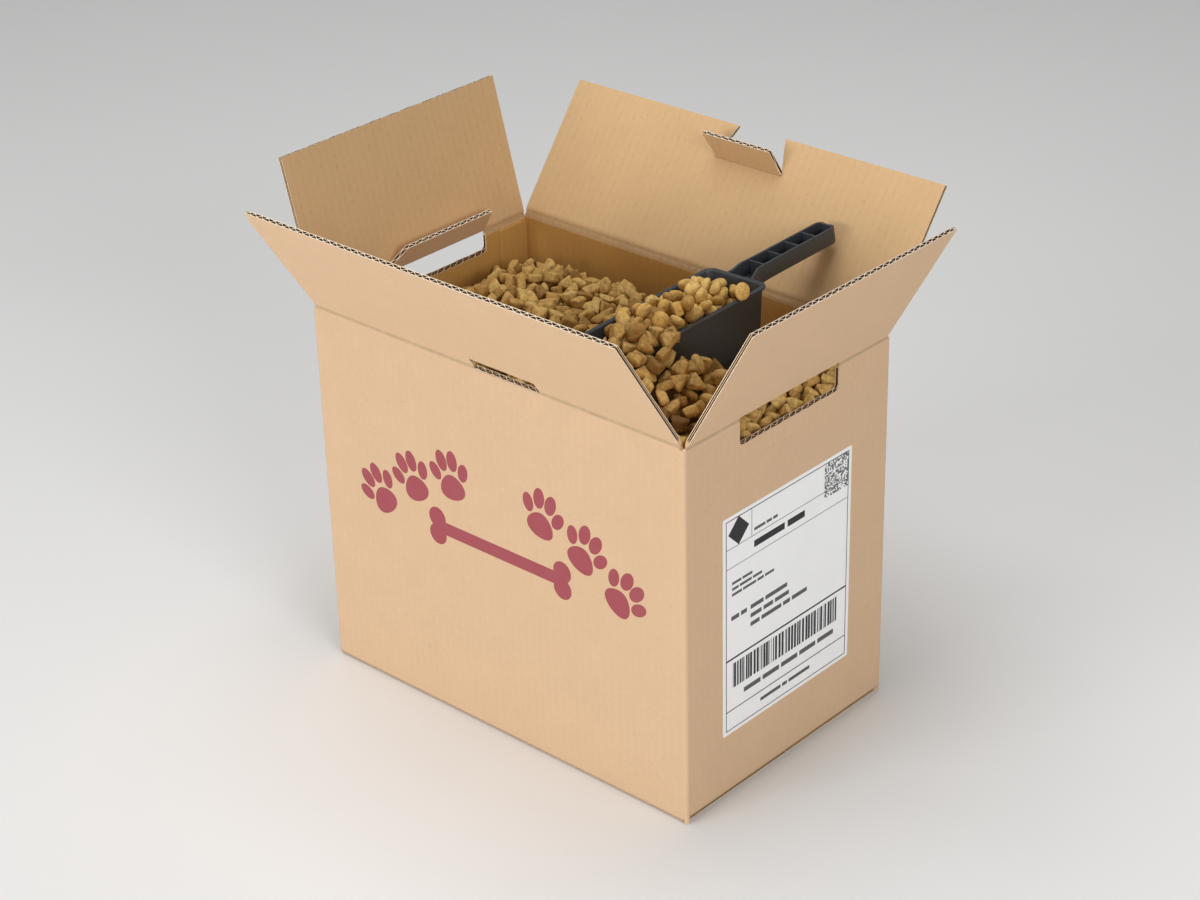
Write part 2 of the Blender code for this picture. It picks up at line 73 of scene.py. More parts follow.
MM = 0.001
HINGES = {joint["child"]: Vector(joint["pos_m"]) for joint in frame["joints"]}
HALF_X = HINGES["right_flap"].x
HALF_Y = HINGES["back_flap"].y
HEIGHT = HINGES["front_flap"].z
SIDE_HEIGHT = HINGES["left_flap"].z

# Board
BOARD = 3.0 * MM
LINER = 0.45 * MM
FLUTE_SHEET = 0.55 * MM
FLUTE_PITCH = 6.45 * MM
FLUTE_POINTS = 12  # along one flute
STEP = 2.5 * MM
CORNER = 2.6 * MM
GLUE = 0.05 * MM

# Flaps
FLAP_LENGTH = 104.3 * MM  # a little short, because the torn edge wavers
FLAP_INSET = 3.3 * MM
CREASE_REACH = 4 * MM  # how far a crease's soft zone runs up the flap and down the wall
CORNER_SLOT = 3.2 * MM
LONG_SIDES = ("front_flap", "back_flap")
YAW = {"front_flap": 0, "back_flap": 180, "left_flap": -90, "right_flap": 90}
TILT = {"front_flap": 33.3, "back_flap": 37.3, "left_flap": 14.9, "right_flap": 29.6}
LABELS = {"front_flap": "front", "back_flap": "back", "left_flap": "left", "right_flap": "right"}

# Hand holes: the ends along Y, and the height below the side crease
RIGHT_HOLE = (-52.2 * MM, 49.8 * MM, 18.5 * MM)
LEFT_HOLE = (-40 * MM, 62 * MM, 15 * MM)
HOLE_CORNER = 3.5 * MM
HAND_TAB_LENGTH = 20 * MM
HAND_TAB_FOLD = math.radians(44)
HAND_TAB_GAP = 1.2 * MM
HAND_TAB_TAPER = 14 * MM
CUT_SLANT = {"left_flap": 1.7 * MM, "right_flap": -1.2 * MM, "front_flap": -1.1 * MM}

# Lock slot, notch and tab
SLOT = (-12 * MM, 46 * MM, 8.6 * MM)
LOCK_CREASE = 78 * MM
LOCK_CENTRE = 8 * MM
NOTCH_MOUTH = 42 * MM
NOTCH_BASE = 60 * MM
LOCK_TAB_LENGTH = 21.5 * MM
LOCK_TAB_FOLD = math.radians(62)
LOCK_TAB_FLARE = 4.4 * MM

# Base and seam
BASE_REACH = 4 * MM
BASE_SIDE_FLAP = 105 * MM
SIDE_FLOOR = 3.3 * MM
BASE_SEAM = 2.4 * MM
SEAM_TAB = 28 * MM
SEAM_TAB_DROP = 4.5 * MM
SEAM_TAB_THICKNESS = 1.5 * MM

# Label on the right panel
LABEL_SIZE = (135 * MM, 165 * MM)
LABEL_CENTRE = (-1.9 * MM, 132.6 * MM)
LABEL_CORNER = 1.2 * MM
LABEL_THICKNESS = 0.25 * MM
INK = 0.04 * MM

# Scoop, in its own frame: +X right, +Y to the handle, +Z up, origin on the rear rim
SCOOP_PLACE = (HALF_X - 78.5 * MM, HALF_Y - 63 * MM, HEIGHT + 41.5 * MM)
SCOOP_TURN = (5.0, 5.0, 4.7)  # yaw, pitch and roll in degrees
RIM_HALF = 28.5 * MM
RIM_FLANGE = 2 * MM
BOWL_LENGTH = 125 * MM
BOWL_LIP = 10 * MM
BOWL_DEPTH = 50 * MM
BOWL_DRAFT = 0.16
BOWL_WALL = 2 * MM
BOWL_CORNER = 6 * MM
HANDLE_LENGTH = 86 * MM
HANDLE_HALF = 8.4 * MM
HANDLE_DEPTH = 12.4 * MM
HANDLE_RISE = 3 * MM
HANDLE_WALL = 1.8 * MM
HANDLE_CELLS = 5

# Kibble
KIBBLE = 11.2 * MM
LOAD_KIBBLE = 10 * MM
HEAP_LAYERS = 2
LOAD_LAYERS = 3
HEAP_DEPTH = 20.5 * MM
LOAD_DEPTH = 24.5 * MM
BED_DEPTH = 17 * MM  # how deep the dark bed under the loose layers lies
BED_GAP = 2.5 * MM  # and how far under the floor they settle on, where they drift up
NO_SOLID = 0.2  # the height taken where the CAD has no food
FALLEN = 0.15  # a piece that got past the heap's floor ends lower than this
LOAD_END = 15 * MM  # the load's top is read no nearer than this to the bowl's rear rim
LOAD_RISE = 9 * MM  # and it is heaped this much higher toward that rim's right end
MIXED_FROM = 90 * MM  # where the carton's kibble has got into the scoop, down from its rear rim
DRIFT_PEAK = (HALF_X - 66 * MM, -HALF_Y + 29 * MM)  # it is heaped over the scoop's mouth
DRIFT_RISE = 59 * MM
DRIFT_TOP = 46 * MM
DRIFT_SLOPE = 0.88
DRIFT_WIDE = (0.62, 0.72)  # its reach to the left and to the right, as shares of its reach along Y
DRIFT_SHARE = 6 * MM  # a place this much over the plain heap gets one more layer
LEFT_FLAP_OVER = -55 * MM  # kibble left of this lies under the left flap when it shuts
FLAP_CLEARANCE = 5 * MM  # and is kept this far under its crease
RIGHT_FLAP_IN = math.radians(40)  # how far in from upright the right flap folds, over the kibble
DRAWN_SIZE = 0.93  # of the size they settle at, so that they stay apart
PIECE_BANDS = (-1, -72 * MM, 10 * MM, 82 * MM, 1)  # the carton's kibble is four pieces, parted along X
SETTLE_FRAMES = 36
SETTLE_SCALE = 10  # rigid bodies work best at about a unit each
TURN = 6.28  # a full turn, for random angles

# Camera, as the photograph was taken
CAMERA_PLACE = (1.1106, -1.20924, 1.04924)
CAMERA_RIGHT = (0.74433, 0.66742, -0.02266)
CAMERA_UP = (-0.29710, 0.36134, 0.88383)
CAMERA_LENS = 80.28  # millimetres, on a sensor 36 mm wide


# Materials


class Nodes:
    """Short calls that add nodes to a tree. An input is a value or another node's output."""

    def __init__(self, tree):
        self.tree = tree

    def add(self, kind, inputs=None, **settings):
        node = self.tree.nodes.new(kind)
        for name, value in settings.items():
            setattr(node, name, value)
        for name, value in (inputs or {}).items():
            if isinstance(value, bpy.types.NodeSocket):
                self.tree.links.new(value, node.inputs[name])
            else:
                node.inputs[name].default_value = value
        return node

    def math(self, operation, *values):
        return self.add("ShaderNodeMath", dict(enumerate(values)), operation=operation).outputs[0]

    def times(self, first, second):
        return self.math("MULTIPLY", first, second)

    def total(self, first, *others):
        for value in others:
            first = self.math("ADD", first, value)
        return first

    def noise(self, vector, scale, detail=3.0, roughness=0.55):
        inputs = {"Vector": vector, "Scale": scale, "Detail": detail, "Roughness": roughness}
        return self.add("ShaderNodeTexNoise", inputs).outputs["Fac"]

    def spread(self, value, low, high, to_low, to_high):
        """value from low to high becomes to_low to to_high, and no further."""
        inputs = {"Value": value, 1: low, 2: high, 3: to_low, 4: to_high}
        return self.add("ShaderNodeMapRange", inputs).outputs[0]

    def scaled(self, vector, scale):
        return self.add("ShaderNodeMapping", {"Vector": vector, "Scale": scale}).outputs[0]

    def place(self):
        """A point's place on its object, in millimetres."""
        return self.scaled(self.add("ShaderNodeTexCoord").outputs["Object"], (1 / MM,) * 3)

    def mix(self, factor, first, second, blend="MIX"):
        inputs = {0: factor, 6: first, 7: second}
        return self.add("ShaderNodeMix", inputs, data_type="RGBA", blend_type=blend).outputs[2]

    def bump(self, height, distance, strength, normal=None):
        inputs = {"Height": height, "Distance": distance, "Strength": strength}
        if normal is not None:
            inputs["Normal"] = normal
        return self.add("ShaderNodeBump", inputs).outputs[0]


class Surface(Nodes):
    """A material and the nodes of its one shader."""

    def __init__(self, name, roughness, specular):
        self.material = bpy.data.materials.new(name)
        self.material.use_nodes = True
        super().__init__(self.material.node_tree)
        self.shader = self.tree.nodes["Principled BSDF"]
        self.shader.inputs["Roughness"].default_value = roughness
        self.shader.inputs["Specular IOR Level"].default_value = specular

    def finish(self, colour, normal=None, roughness=None):
        for name, output in (("Base Color", colour), ("Normal", normal), ("Roughness", roughness)):
            if output is not None:
                self.tree.links.new(output, self.shader.inputs[name])
        return self.material


def srgb(red, green, blue):
    """A colour given in 0 to 255 as it looks, as the linear colour with alpha that a shader takes."""
    shares = [level / 255 for level in (red, green, blue)]
    return (*(v / 12.92 if v <= 0.04045 else ((v + 0.055) / 1.055) ** 2.4 for v in shares), 1)


def toned(colour, *shares):
    """A colour with its red, green and blue changed to these shares of them."""
    return (*(min(1, level * share) for level, share in zip(colour, shares)), 1)


def make_kraft(name, colour, ridge_relief_and_shade, mottle=1.0, washboard_shade=0.0):
    """A liner: fine fibres along the panel, soft mottling and flecks, with painted shade on the flutes'
    crests, on short washboard marks and along each fold's score.

    ridge_relief_and_shade is how much the flutes show through, as relief and as painted shade on their
    crests, and washboard_shade how dark the painted shade of the short washboard marks on them is.
    """
    nodes = Surface(name, 0.82, 0.25)
    uv = nodes.add("ShaderNodeUVMap", uv_map="board").outputs[0]
    place = nodes.scaled(uv, (1 / MM, 1 / MM, 1))
    parts = nodes.add("ShaderNodeSeparateXYZ", {0: place}).outputs
    cloud = nodes.noise(place, 0.035, 2)
    patches = nodes.noise(place, 0.22, 4, 0.6)
    fibres = nodes.noise(nodes.scaled(place, (0.35, 1.3, 1)), 1.7, 4, 0.7)
    grain = nodes.noise(place, 3.5, 2, 0.6)
    wave = nodes.math("COSINE", nodes.times(parts[0], 2 * math.pi * MM / FLUTE_PITCH))
    patchy = nodes.noise(nodes.scaled(place, (1, 0.12, 1)), 0.5, 3, 0.65)
    shown = nodes.times(wave, nodes.spread(patchy, 0.35, 0.7, 0.15, 1))
    # The flutes' crests are darkened in colour here as well: painted shade over the ridges' relief.
    weights = ((cloud, 0.07 * mottle), (patches, 0.09 * mottle), (fibres, 0.10), (shown, -ridge_relief_and_shade))
    value = nodes.total(1 - 0.09 * mottle, *(nodes.times(part, weight) for part, weight in weights), -0.06)
    # Short darker dashes on the crests: painted shade of the washboard marks.
    if washboard_shade:
        crest_shade = nodes.spread(wave, 0.72, 1.0, 0, washboard_shade)
        broken = nodes.noise(nodes.scaled(place, (0.45, 1.0, 1)), 0.22, 3, 0.6)
        value = nodes.math("SUBTRACT", value, nodes.times(crest_shade, nodes.spread(broken, 0.54, 0.64, 0, 1)))
    # A darker band along the middle of each fold: painted shade in the crease's score.
    score = nodes.spread(nodes.math("ABSOLUTE", nodes.total(parts[1], 0.9)), 0.5, 1.9, 0.27, 0)
    score = nodes.times(score, nodes.spread(patches, 0.3, 0.7, 0.5, 1.2))
    value = nodes.math("SUBTRACT", value, score)
    shade = nodes.add("ShaderNodeCombineColor", {0: value, 1: value, 2: value}).outputs[0]
    tint = nodes.mix(1.0, colour, shade, "MULTIPLY")
    dark = toned(colour, 0.42, 0.36, 0.3)
    pale = toned(colour, 1.18, 1.22, 1.3)
    for scale, limit, fleck, amount in ((0.16, 0.045, dark, 0.55), (0.23, 0.05, pale, 0.6)):
        inputs = {"Vector": nodes.scaled(place, (0.7, 1.25, 1)), "Scale": scale}
        gap = nodes.add("ShaderNodeTexVoronoi", inputs).outputs["Distance"]
        tint = nodes.mix(nodes.spread(gap, limit, limit * 1.6, amount, 0), tint, fleck)
    rough = nodes.total(nodes.times(fibres, 0.6), nodes.times(grain, 0.4))
    relief = nodes.bump(rough, 0.10 * MM, 0.55)
    return nodes.finish(tint, nodes.bump(shown, 0.05 * MM + ridge_relief_and_shade * 0.6 * MM, 0.6, relief))


def make_edge(name, colour):
    """Torn paper fibres at a cut edge."""
    nodes = Surface(name, 0.95, 0.15)
    fray = nodes.noise(nodes.place(), 1.6, 3, 0.7)
    tint = nodes.mix(nodes.spread(fray, 0.34, 0.56, 0, 1), toned(colour, 0.72, 0.64, 0.55), colour)
    return nodes.finish(tint, nodes.bump(fray, 0.15 * MM, 0.7))


def make_ink(name, colour, roughness, wear):
    """Flat printing that lets a little of the paper's grain through."""
    nodes = Surface(name, roughness, 0.3)
    place = nodes.place()
    grain = nodes.noise(place, 1.4, 4, 0.7)
    cloud = nodes.noise(place, 0.08, 2)
    light = tuple(level + (0.75 - level) * 0.35 for level in colour[:3]) + (1,)
    tint = nodes.mix(nodes.spread(grain, 0.45, 0.8, 0, wear), colour, light)
    tint = nodes.mix(nodes.spread(cloud, 0.35, 0.65, 0, wear * 0.5), tint, light)
    return nodes.finish(tint, nodes.bump(grain, 0.04 * MM, 0.4))


def make_label_paper():
    nodes = Surface("label_paper", 0.5, 0.4)
    place = nodes.place()
    cloud = nodes.noise(place, 0.03, 3)
    relief = nodes.bump(nodes.noise(place, 1.2, 3), 0.03 * MM, 0.35)
    tint = nodes.mix(cloud, srgb(244, 244, 245), srgb(251, 251, 250))
    return nodes.finish(tint, nodes.bump(cloud, 0.6 * MM, 0.35, relief))


def make_plastic():
    """Black moulded plastic with a fine satin texture and faint scuffs."""
    nodes = Surface("black_plastic", 0.4, 0.5)
    place = nodes.place()
    grain = nodes.noise(place, 2.6, 3, 0.6)
    cloud = nodes.noise(place, 0.05, 4, 0.6)
    scuffs = nodes.noise(nodes.scaled(place, (1.2, 0.12, 1.2)), 0.5, 5, 0.75)
    tint = nodes.mix(cloud, (0.043, 0.050, 0.058, 1), (0.055, 0.062, 0.071, 1))
    tint = nodes.mix(nodes.spread(scuffs, 0.62, 0.78, 0, 0.35), tint, (0.12, 0.12, 0.12, 1))
    return nodes.finish(tint, nodes.bump(grain, 0.03 * MM, 0.5), nodes.spread(scuffs, 0.35, 0.75, 0.33, 0.52))


def make_kibble(name, dark, middle, pale_tone_and_highlight):
    """Baked and rough: darker brown in its pits as painted shade, paler on its high spots as painted
    highlights, and each piece of its own tone.
    """
    nodes = Surface(name, 0.72, 0.35)
    place = nodes.place()
    tone = nodes.add("ShaderNodeAttribute", attribute_name="tone").outputs["Fac"]
    lumps = nodes.noise(place, 0.32, 4, 0.65)
    crumb = nodes.noise(place, 1.1, 4, 0.7)
    pits = nodes.add("ShaderNodeTexVoronoi", {"Vector": place, "Scale": 0.75}).outputs["Distance"]
    base = nodes.mix(nodes.spread(tone, 0, 1, 0, 1), middle, pale_tone_and_highlight)
    base = nodes.mix(nodes.spread(tone, 0.0, 0.16, 0.75, 0), base, dark)
    # Darker where the lumps and the crumb sink and paler on the crumb's high spots, following the bump:
    # painted shade in the pits and painted highlights.
    base = nodes.mix(nodes.spread(lumps, 0.36, 0.56, 0.42, 0), base, dark)
    base = nodes.mix(nodes.spread(crumb, 0.55, 0.75, 0, 0.55), base, pale_tone_and_highlight)
    base = nodes.mix(nodes.spread(crumb, 0.28, 0.43, 0.72, 0), base, dark)
    relief = nodes.bump(nodes.total(nodes.times(crumb, 0.7), nodes.times(pits, 0.35)), 0.6 * MM, 0.75)
    return nodes.finish(base, nodes.bump(lumps, 0.7 * MM, 0.4, relief))


OUTER, INNER, EDGE, FLUTE = range(4)
KRAFT_OUTER = make_kraft("kraft_outer", srgb(217, 184, 149), 0.010)
KRAFT_INNER = make_kraft("kraft_inner", srgb(216, 180, 134), 0.018, 1.3, 0.10)
# The walls' inner liner is a darker, more saturated copy of the inner kraft: painted shade inside the carton.
KRAFT_INNER_SHADED = make_kraft("kraft_inner_painted_shade", srgb(206, 160, 90), 0.018, 1.3, 0.10)
CUT_EDGE = make_edge("cut_edge", srgb(248, 234, 212))
# The fluted sheet and the liners' backs are a darker brown than their kraft: painted shade in the flute
# channels.
FLUTING_SHADED = make_edge("fluting_painted_shade", srgb(134, 96, 60))
BOARD_MATERIALS = [KRAFT_OUTER, KRAFT_INNER, CUT_EDGE, FLUTING_SHADED]
WALL_MATERIALS = [KRAFT_OUTER, KRAFT_INNER_SHADED, CUT_EDGE, FLUTING_SHADED]


# Meshes


def new_mesh(name, points, faces):
    mesh = bpy.data.meshes.new(name)
    mesh.from_pydata(points, [], faces)
    return mesh


def mesh_from(name, bm):
    mesh = bpy.data.meshes.new(name)
    bm.to_mesh(mesh)
    bm.free()
    return mesh


def add_object(name, data):
    obj = bpy.data.objects.new(name, data)
    bpy.context.scene.collection.objects.link(obj)
    return obj


def arc(centre, radius, first, last, steps):
    """Points on a circle from one angle to another, in degrees."""
    turns = [math.radians(first + (last - first) * step / steps) for step in range(steps + 1)]
    return [(centre[0] + radius * math.cos(turn), centre[1] + radius * math.sin(turn)) for turn in turns]


def turned(centre, x, y, turn):
    """A place beside a centre, in a frame turned about it."""
    cos, sin = math.cos(turn), math.sin(turn)
    return (centre[0] + x * cos - y * sin, centre[1] + x * sin + y * cos)


class Shape:
    """Points, faces, and each face's material and each point's place on its panel, gathered for one mesh."""

    def __init__(self):
        self.points = []
        self.faces = []
        self.slots = []
        self.uvs = []

    def add(self, points, faces, slots, uvs=None):
        start = len(self.points)
        self.points.extend(map(tuple, points))
        self.faces.extend(tuple(start + i for i in face) for face in faces)
        self.slots.extend(slots if hasattr(slots, "__len__") else [slots] * len(faces))
        self.uvs.extend(map(tuple, uvs) if uvs is not None else [(0, 0)] * len(points))

    def slab(self, front, back, slots, uv=None):
        """A closed slab between two grids of points, front and back.

        slots are the materials of its front, back and rim, and of the rim's two sides where they differ.
        """
        rows, columns = front.shape[:2]
        count = rows * columns
        faces = []
        kinds = []
        for i in range(rows - 1):
            for j in range(columns - 1):
                a = i * columns + j
                b = a + columns
                faces.append((a, a + 1, b + 1, b))
                faces.append((a + count, b + count, b + 1 + count, a + 1 + count))
                kinds += [slots[0], slots[1]]
        rim = list(range(columns))
        rim += [i * columns + columns - 1 for i in range(1, rows)]
        rim += [(rows - 1) * columns + j for j in range(columns - 2, -1, -1)]
        rim += [i * columns for i in range(rows - 2, 0, -1)]
        for a, b in zip(rim, rim[1:] + rim[:1]):
            faces.append((b, a, a + count, b + count))
            on_side = a // columns == b // columns
            kinds.append(slots[-1] if on_side else slots[2])
        points = np.concatenate([front.reshape(-1, 3), back.reshape(-1, 3)])
        self.add(points, faces, kinds, None if uv is None else np.concatenate([uv.reshape(-1, 2)] * 2))

    def make(self, name, materials, smooth=None):
        mesh = new_mesh(name, self.points, self.faces)
        for material in materials:
            mesh.materials.append(material)
        mesh.polygons.foreach_set("material_index", np.array(self.slots, np.int32))
        layer = mesh.uv_layers.new(name="board")
        corners = np.empty(len(mesh.loops), np.int32)
        mesh.loops.foreach_get("vertex_index", corners)
        layer.data.foreach_set("uv", np.array(self.uvs, np.float32)[corners].ravel())
        bm = bmesh.new()
        bm.from_mesh(mesh)
        bmesh.ops.recalc_face_normals(bm, faces=bm.faces)
        bm.to_mesh(mesh)
        bm.free()
        if smooth:
            mesh.shade_smooth()
            mesh.set_sharp_from_angle(angle=math.radians(smooth))
        return add_object(name, mesh)


def moved(matrix, points):
    """An array of points taken through a matrix."""
    matrix = np.array(matrix)
    return points @ matrix[:3, :3].T + matrix[:3, 3]


def wall_matrix(flap):
    return Matrix.Translation(HINGES[flap]) @ Matrix.Rotation(math.radians(YAW[flap]), 4, "Z")


def flap_matrix(flap):
    return wall_matrix(flap) @ Matrix.Rotation(math.radians(TILT[flap]), 4, "X")


def wobble(along, seed):
    """A torn edge's small in and out, from -1 to 1."""
    along = np.asarray(along) / MM
    waves = np.sin(along * 0.9 + seed) + np.sin(along * 2.3 + seed * 1.7) + np.sin(along * 0.37 + seed * 0.6)
    return waves / 3


def columns_between(strip, step):
    """Places along, low ends and high ends of a strip, whose corners are (along, low, high) in order."""
    parts = []
    for first, last in zip(np.array(strip, float), np.array(strip[1:], float)):
        count = max(1, math.ceil((last[0] - first[0]) / step))
        parts.append(first[:, None] + np.arange(count) / count * (last - first)[:, None])
    return np.concatenate(parts + [np.array(strip[-1], float)[:, None]], axis=1)


def panel_grid(along, low, high, rows):
    """Grids of the places along and up for columns that run from low to high."""
    up = low[:, None] + (high - low)[:, None] * np.linspace(0, 1, rows)[None, :]
    return np.repeat(along[:, None], rows, axis=1), up


def lay(matrix, along, depth, up, bend=None):
    """Panel places as points. bend, if given, moves them first."""
    points = np.stack([along, np.broadcast_to(depth, along.shape), up], axis=-1)
    return moved(matrix, bend(points) if bend else points)


def add_board(shape, matrix, strips, bend=None, torn=0.22 * MM, rows=2, slant=0.0):
    """Corrugated board over the strips: an outer liner, an inner liner and the fluted sheet between them.

    slant is how much lower the top edge is at the inner liner, or at the outer one where it is negative.
    """
    swing = BOARD / 2 - LINER - FLUTE_SHEET / 2 + GLUE

    def drop(share):
        return max(slant, 0) * share + max(-slant, 0) * (1 - share)

    for strip in strips:
        along, low, high = columns_between(strip, STEP)
        for number, (front, back, slot) in enumerate(((0, LINER, OUTER), (BOARD, BOARD - LINER, INNER))):
            top = high - drop(number) + torn * wobble(along, 3.0 * number + strip[0][0] * 90)
            grid, up = panel_grid(along, low, top, rows)
            faces = [lay(matrix, grid, depth, up, bend) for depth in (front, back)]
            shape.slab(*faces, (slot, FLUTE, EDGE), np.stack([grid, up], axis=-1))
        along, low, high = columns_between(strip, FLUTE_PITCH / FLUTE_POINTS)
        phase = np.sin(2 * math.pi * along / FLUTE_PITCH)
        top = high - drop(0.5 + phase * swing / BOARD) + torn * 1.4 * wobble(along * 1.7, 5.0)
        grid, up = panel_grid(along, low, top, rows)
        wave = BOARD / 2 + swing * phase[:, None]
        faces = [lay(matrix, grid, wave + side * FLUTE_SHEET / 2, up, bend) for side in (-1, 1)]
        shape.slab(*faces, (FLUTE, FLUTE, EDGE, INNER), np.stack([grid, up], axis=-1))


def bezier(start, start_way, end, end_way, share):
    """Points from start to end that leave along start_way and arrive along end_way."""
    share = share[:, None]
    other = 1 - share
    first = start + start_way
    last = end - end_way
    return other**3 * start + 3 * other**2 * share * first + 3 * other * share**2 * last + share**3 * end


def add_fold(shape, matrix, ends, start, end, ways, handle, pressed=(0.0, 0.0)):
    """A strip of board that turns between two planes of a panel's cross-section.

    start and end give the (depth, up) of its outer and inner faces, and ways the two ways it runs.
    pressed is how far the score sinks into the outer face and into the inner one.
    """
    share = np.linspace(0, 1, 13)
    dent = np.exp(-(((share - 0.5) / 0.15) ** 2))[:, None]
    first, last = (handle * np.array(way) for way in ways)
    faces = [bezier(np.array(a), first, np.array(b), last, share) for a, b in zip(start, end)]
    across = faces[1] - faces[0]
    across /= np.linalg.norm(across, axis=1)[:, None]
    faces = [faces[0] + across * dent * pressed[0], faces[1] - across * dent * pressed[1]]
    count = max(2, math.ceil((ends[1] - ends[0]) / (2 * STEP)) + 1)
    along = np.repeat(np.linspace(*ends, count)[:, None], len(share), axis=1)
    run = np.concatenate([[0], np.cumsum(np.linalg.norm(np.diff(faces[0], axis=0), axis=1))])
    grids = []
    for line in faces:
        depth, up = (np.broadcast_to(line[:, i], along.shape) for i in (0, 1))
        grids.append(lay(matrix, along, depth, up))
    up = np.broadcast_to(run - run[-1] / 2, along.shape)
    shape.slab(*grids, (OUTER, INNER, EDGE, INNER), np.stack([along, up], axis=-1))


# Carton


def hole_ends(flap):
    """A side panel's hand hole, which way along the panel the back is, and the hole's two ends along it."""
    hole, to_back = (LEFT_HOLE, -1) if flap == "left_flap" else (RIGHT_HOLE, 1)
    first, last = sorted((to_back * hole[0], to_back * hole[1]))
    return hole, to_back, first, last


def hole_strip(flap, base):
    """The wall under a hand hole, with the hole's round lower corners."""
    hole, _, first, last = hole_ends(flap)
    up = HOLE_CORNER - hole[2]
    outline = arc((first + HOLE_CORNER, up), HOLE_CORNER, 180, 270, 4)
    outline += arc((last - HOLE_CORNER, up), HOLE_CORNER, 270, 360, 4)
    return [(along, base, top) for along, top in outline]


def wall_strips(flap):
    """(strips of the wall, its strip under a slot or hand hole, ends of each stretch that a crease joins)"""
    long_side = flap in LONG_SIDES
    half = HALF_X if long_side else HALF_Y
    base = BASE_REACH - HEIGHT if long_side else SIDE_FLOOR + BASE_REACH - SIDE_HEIGHT
    drop = CORNER_SLOT - (0 if long_side else HEIGHT - SIDE_HEIGHT)
    post = half - CORNER
    reach = half - FLAP_INSET
    strips = [[(-post, base, -drop), (-reach, base, -drop)], [(reach, base, -drop), (post, base, -drop)]]
    if flap == "back_flap":
        return strips + [[(-reach, base, -CREASE_REACH), (reach, base, -CREASE_REACH)]], [], [(-reach, reach)]
    if flap == "front_flap":
        first, last = SLOT[:2]
        under = -0.3 * MM
        opening = [(first, base, under), (last, base, under)]
    else:
        first, last = hole_ends(flap)[2:]
        opening = hole_strip(flap, base)
    stretches = [(-reach, first), (last, reach)]
    strips += [[(a, base, -CREASE_REACH), (b, base, -CREASE_REACH)] for a, b in stretches]
    return strips, [opening], stretches


def make_walls():
    shape = Shape()
    for flap in HINGES:
        strips, opening, _ = wall_strips(flap)
        add_board(shape, wall_matrix(flap), strips)
        add_board(shape, wall_matrix(flap), opening, slant=CUT_SLANT.get(flap, 0), torn=0.3 * MM)
    outer = arc((HALF_X - CORNER, HALF_Y - CORNER), CORNER, 0, 90, 6)
    inner = [(HALF_X - BOARD, HALF_Y - BOARD)] * len(outer)
    run = np.arange(len(outer)) * CORNER * math.pi / 12
    for x_side in (-1, 1):
        for y_side in (-1, 1):
            grids = []
            for line in (outer, inner):
                grid = np.zeros((len(line), 2, 3))
                grid[:, :, :2] = (np.array(line) * (x_side, y_side))[:, None, :]
                grid[:, :, 2] = (0.4 * MM, HEIGHT - CORNER_SLOT)
                grids.append(grid)
            uv = np.stack([np.repeat(run[:, None], 2, axis=1), grids[0][:, :, 2]], axis=-1)
            shape.slab(*grids, (OUTER, INNER, EDGE), uv)
    add_seam_tab(shape)
    add_base(shape)
    walls = shape.make("carton_walls", WALL_MATERIALS, smooth=40)
    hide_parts("carton_body")
    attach(walls, "carton")


def add_seam_tab(shape):
    """The crushed tab that joins the back panel to the left one, glued inside the back left corner."""
    low = SIDE_FLOOR + 2 * BOARD - SIDE_HEIGHT
    start = BOARD + 0.1 * MM - HALF_Y
    along = np.linspace(start, start + SEAM_TAB, 14)
    thick = SEAM_TAB_THICKNESS * np.clip((along[-1] - along) / (1.2 * MM), 0.25, 1)
    top = -SEAM_TAB_DROP - 1.5 * MM * np.clip(1 - (along - start) / (4 * MM), 0, 1)
    grid, up = panel_grid(along, np.full_like(along, low), top, 2)
    faces = [lay(wall_matrix("left_flap"), grid, BOARD + depth, up) for depth in (-GLUE, thick[:, None])]
    shape.slab(*faces, (INNER, INNER, INNER), np.stack([grid + BOARD, up], axis=-1))


def add_base(shape):
    """The folds at the foot of each wall, and the four base flaps. The outer two meet under the carton."""
    seam_gap = 0.4 * MM
    lengths = {"front_flap": HALF_Y + BASE_SEAM - seam_gap, "back_flap": HALF_Y - BASE_SEAM - seam_gap}
    for flap in HINGES:
        long_side = flap in LONG_SIDES
        matrix = wall_matrix(flap)
        floor = -HEIGHT if long_side else SIDE_FLOOR - SIDE_HEIGHT
        reach = (HALF_X if long_side else HALF_Y) - FLAP_INSET
        start = [(0, floor + BASE_REACH), (BOARD, floor + BASE_REACH)]
        end = [(BASE_REACH, floor), (BASE_REACH, floor + BOARD)]
        add_fold(shape, matrix, (-reach, reach), start, end, ((0, -1), (1, 0)), handle=2.4 * MM)
        turn = Matrix.Translation((0, 0, floor)) @ Matrix.Rotation(math.radians(-90), 4, "X")
        length = lengths.get(flap, BASE_SIDE_FLAP)
        flat = matrix @ turn @ Matrix.Scale(-1, 4, (0, 1, 0))
        add_board(shape, flat, [[(-reach, BASE_REACH, length), (reach, BASE_REACH, length)]])


def make_creases():
    """The scored zones between the walls and their flaps, each bent to its flap's tilt."""
    pressed = (0.5 * MM, 0.6 * MM)
    for flap, label in LABELS.items():
        tilt = math.radians(TILT[flap])
        matrix = wall_matrix(flap)
        shape = Shape()
        way = np.array((-math.sin(tilt), math.cos(tilt)))
        inward = np.array((math.cos(tilt), math.sin(tilt)))
        start = [(0, -CREASE_REACH), (BOARD, -CREASE_REACH)]
        end = [CREASE_REACH * way, CREASE_REACH * way + BOARD * inward]
        for ends in wall_strips(flap)[2]:
            add_fold(shape, matrix, ends, start, end, ((0, 1), way), handle=2.9 * MM, pressed=pressed)
        crease = shape.make(f"{label}_crease", BOARD_MATERIALS, smooth=40)
        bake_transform(crease)


